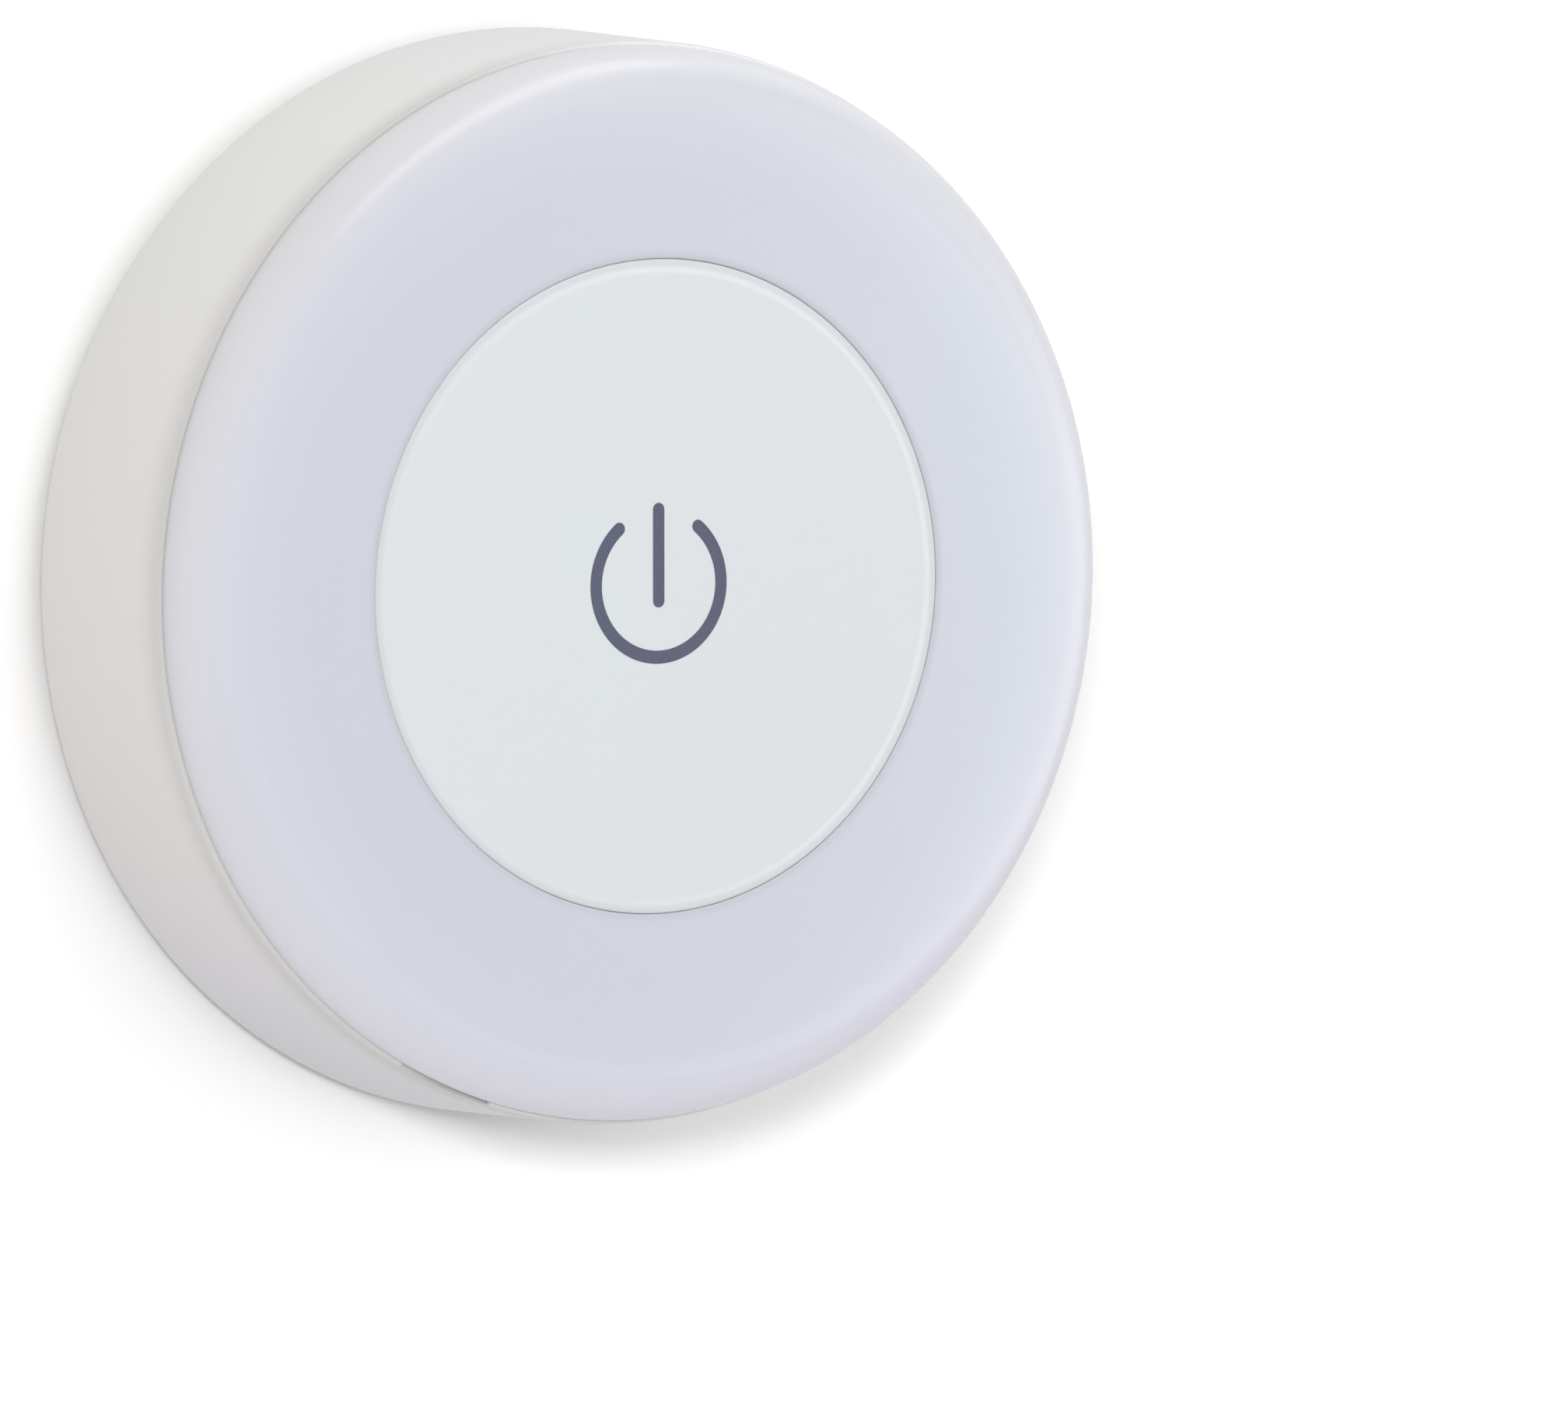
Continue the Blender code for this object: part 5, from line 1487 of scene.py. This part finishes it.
# A painted highlight band just inside the cap's rim, and painted shade by the gap round it.
CAP_HIGHLIGHT_START = 24.4 * MM
CAP_HIGHLIGHT_END = 25.1 * MM
HIGHLIGHT_BLUR = 0.25 * MM
HIGHLIGHT_FADE = (-24 * MM, 12 * MM)
GAP_BLUR = 0.2 * MM
CAP_FADE = (-5 * MM, 25 * MM)
CAP_BOSS_RADIUS = 1.5 * MM
CAP_BOSS_HEIGHT = 0.4 * MM
SEAT_INNER = 6.58 * MM
SEAT_WALL = 0.8 * MM
SEAT_HEIGHT = 0.8 * MM
CAP_RIB_COUNT = 6
CAP_RIB_HEIGHT = 0.8 * MM
CAP_LEG_COUNT = 4
CAP_LEG_ARC = math.radians(14)
CAP_LEG_RADIUS = 25.3 * MM
HOOK_RADIUS = 26.6 * MM
HOOK_FRONT = 19.8 * MM
INK_THICKNESS = 0.02 * MM
CAP_COLOURS = (srgb(219, 225, 227), srgb(223, 223, 228))
HIGHLIGHT_COLOUR = srgb(229, 231, 234)
GAP_SHADE_COLOUR = srgb(213, 217, 220)
SYMBOL_RADIUS = 5.70 * MM
SYMBOL_STROKE = 1.03 * MM
SYMBOL_OPENING = math.radians(39)
SYMBOL_LIFT = 0.18 * MM
BAR_TOP = 6.38 * MM
BAR_BOTTOM = -1.81 * MM
SYMBOL_ROOT = 0.05 * MM
SYMBOL_STEPS = 64
END_STEPS = 10
INK_COLOURS = (srgb(90, 92, 112), srgb(100, 102, 122))

leg_back = -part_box("button_cap")[1].y
cap_front = face_front - INK_THICKNESS
cap_back = face_front - CAP_THICKNESS
rim_inner = CAP_LEG_RADIUS - CAP_WALL
rim_foot = cap_back - CAP_RIM_DEPTH
cap = turned(
    "button_disc",
    [
        (0, cap_back - CAP_BOSS_HEIGHT),
        (CAP_BOSS_RADIUS, cap_back - CAP_BOSS_HEIGHT),
        (CAP_BOSS_RADIUS, cap_back),
        (SEAT_INNER, cap_back),
        (SEAT_INNER, cap_back - SEAT_HEIGHT),
        (SEAT_INNER + SEAT_WALL, cap_back - SEAT_HEIGHT),
        (SEAT_INNER + SEAT_WALL, cap_back),
        (rim_inner, cap_back),
        (rim_inner, rim_foot),
        (CAP_RADIUS, rim_foot),
        *front_round(CAP_RADIUS, cap_front, CAP_RIM_ROUND, 6),
        (CAP_RADIUS - CAP_RIM_ROUND - FLAT_MARGIN, cap_front),
        (0, cap_front),
    ],
)
grown = []
leg_front = rim_foot + JOIN_DEPTH
for index in range(CAP_LEG_COUNT):
    span = around(FULL_TURN * index / CAP_LEG_COUNT, CAP_LEG_ARC)
    grown.append(ring_part(rim_inner + WELD, CAP_LEG_RADIUS, leg_back, leg_front, *span))
    hook_root = CAP_LEG_RADIUS - JOIN_DEPTH
    grown.append(ring_part(hook_root, HOOK_RADIUS, leg_back, HOOK_FRONT, *span))
for index in range(CAP_RIB_COUNT):
    length = (SEAT_INNER + SEAT_WALL / 2, rim_inner + CAP_WALL / 2)
    heights = (cap_back - CAP_RIB_HEIGHT + WELD, cap_back + JOIN_DEPTH)
    made = block("cap rib", length, around(0, RIB_THICKNESS), heights)
    grown.append(roll(made, FULL_TURN * (index + 0.5) / CAP_RIB_COUNT))
combine(cap, grown)

cap_finish, point, shader = new_finish("button plastic", {"IOR": 1.5})
across, up, height, radius = directions(point)
grain = noise(point, 0.3 * MM, 3.0)
# Painted highlight: a lighter band just inside the cap's rim, strongest on the right and at the
# top.
edge_band = radius.ramp(CAP_HIGHLIGHT_START, CAP_HIGHLIGHT_START + HIGHLIGHT_BLUR)
edge_band = edge_band - radius.ramp(CAP_HIGHLIGHT_END - HIGHLIGHT_BLUR, CAP_HIGHLIGHT_END)
edge_band = edge_band * (across + up * 0.5).ramp(*HIGHLIGHT_FADE)
# Painted shade on the cap's edge next to the gap round it.
gap_shade_share = radius.ramp(CAP_HIGHLIGHT_END - GAP_BLUR, CAP_HIGHLIGHT_END + GAP_BLUR)
# Partly random tone and partly painted light: the cap's tint shifts towards the right.
rightward_light = across.ramp(*CAP_FADE)
colour = (noise(point, 20 * MM) * 0.6 + rightward_light * 0.4).between(*CAP_COLOURS)
colour = gap_shade_share.between(edge_band.between(colour, HIGHLIGHT_COLOUR), GAP_SHADE_COLOUR)
vary(shader, colour, 0.29 + grain * 0.06, grain, 0.003 * MM)
fit(cap, "button", "button_white", cap_finish, "button_cap")

half_stroke = SYMBOL_STROKE / 2
arc_start = QUARTER_TURN + SYMBOL_OPENING
arc_end = QUARTER_TURN - SYMBOL_OPENING + FULL_TURN
start_middle = (SYMBOL_RADIUS * math.cos(arc_start), SYMBOL_RADIUS * math.sin(arc_start))
end_middle = (SYMBOL_RADIUS * math.cos(arc_end), SYMBOL_RADIUS * math.sin(arc_end))
ring_outline = [
    *arc((0, 0), SYMBOL_RADIUS + half_stroke, arc_start, arc_end, SYMBOL_STEPS),
    *arc(end_middle, half_stroke, arc_end, arc_end + math.pi, END_STEPS)[1:],
    *arc((0, 0), SYMBOL_RADIUS - half_stroke, arc_end, arc_start, SYMBOL_STEPS)[1:],
    *arc(start_middle, half_stroke, arc_start + math.pi, arc_start + FULL_TURN, END_STEPS)[1:-1],
]
bar_outline = [
    *arc((0, BAR_TOP - half_stroke), half_stroke, 0, math.pi, END_STEPS),
    *arc((0, BAR_BOTTOM + half_stroke), half_stroke, math.pi, FULL_TURN, END_STEPS),
]
ink_finish, point, shader = new_finish("grey ink", {"Specular IOR Level": 0.2})
grain = noise(point, 0.2 * MM, 3.0)
vary(shader, grain.between(*INK_COLOURS), 0.5 + grain * 0.1)
for name, outline in (("power_symbol_ring", ring_outline), ("power_symbol_bar", bar_outline)):
    points = [on_lamp(across, up + SYMBOL_LIFT, cap_front - SYMBOL_ROOT) for across, up in outline]
    stroke = plate(name, points, *on_lamp(0, 0, SYMBOL_ROOT + INK_THICKNESS))
    fit(stroke, "button", "dark_plastic", ink_finish)
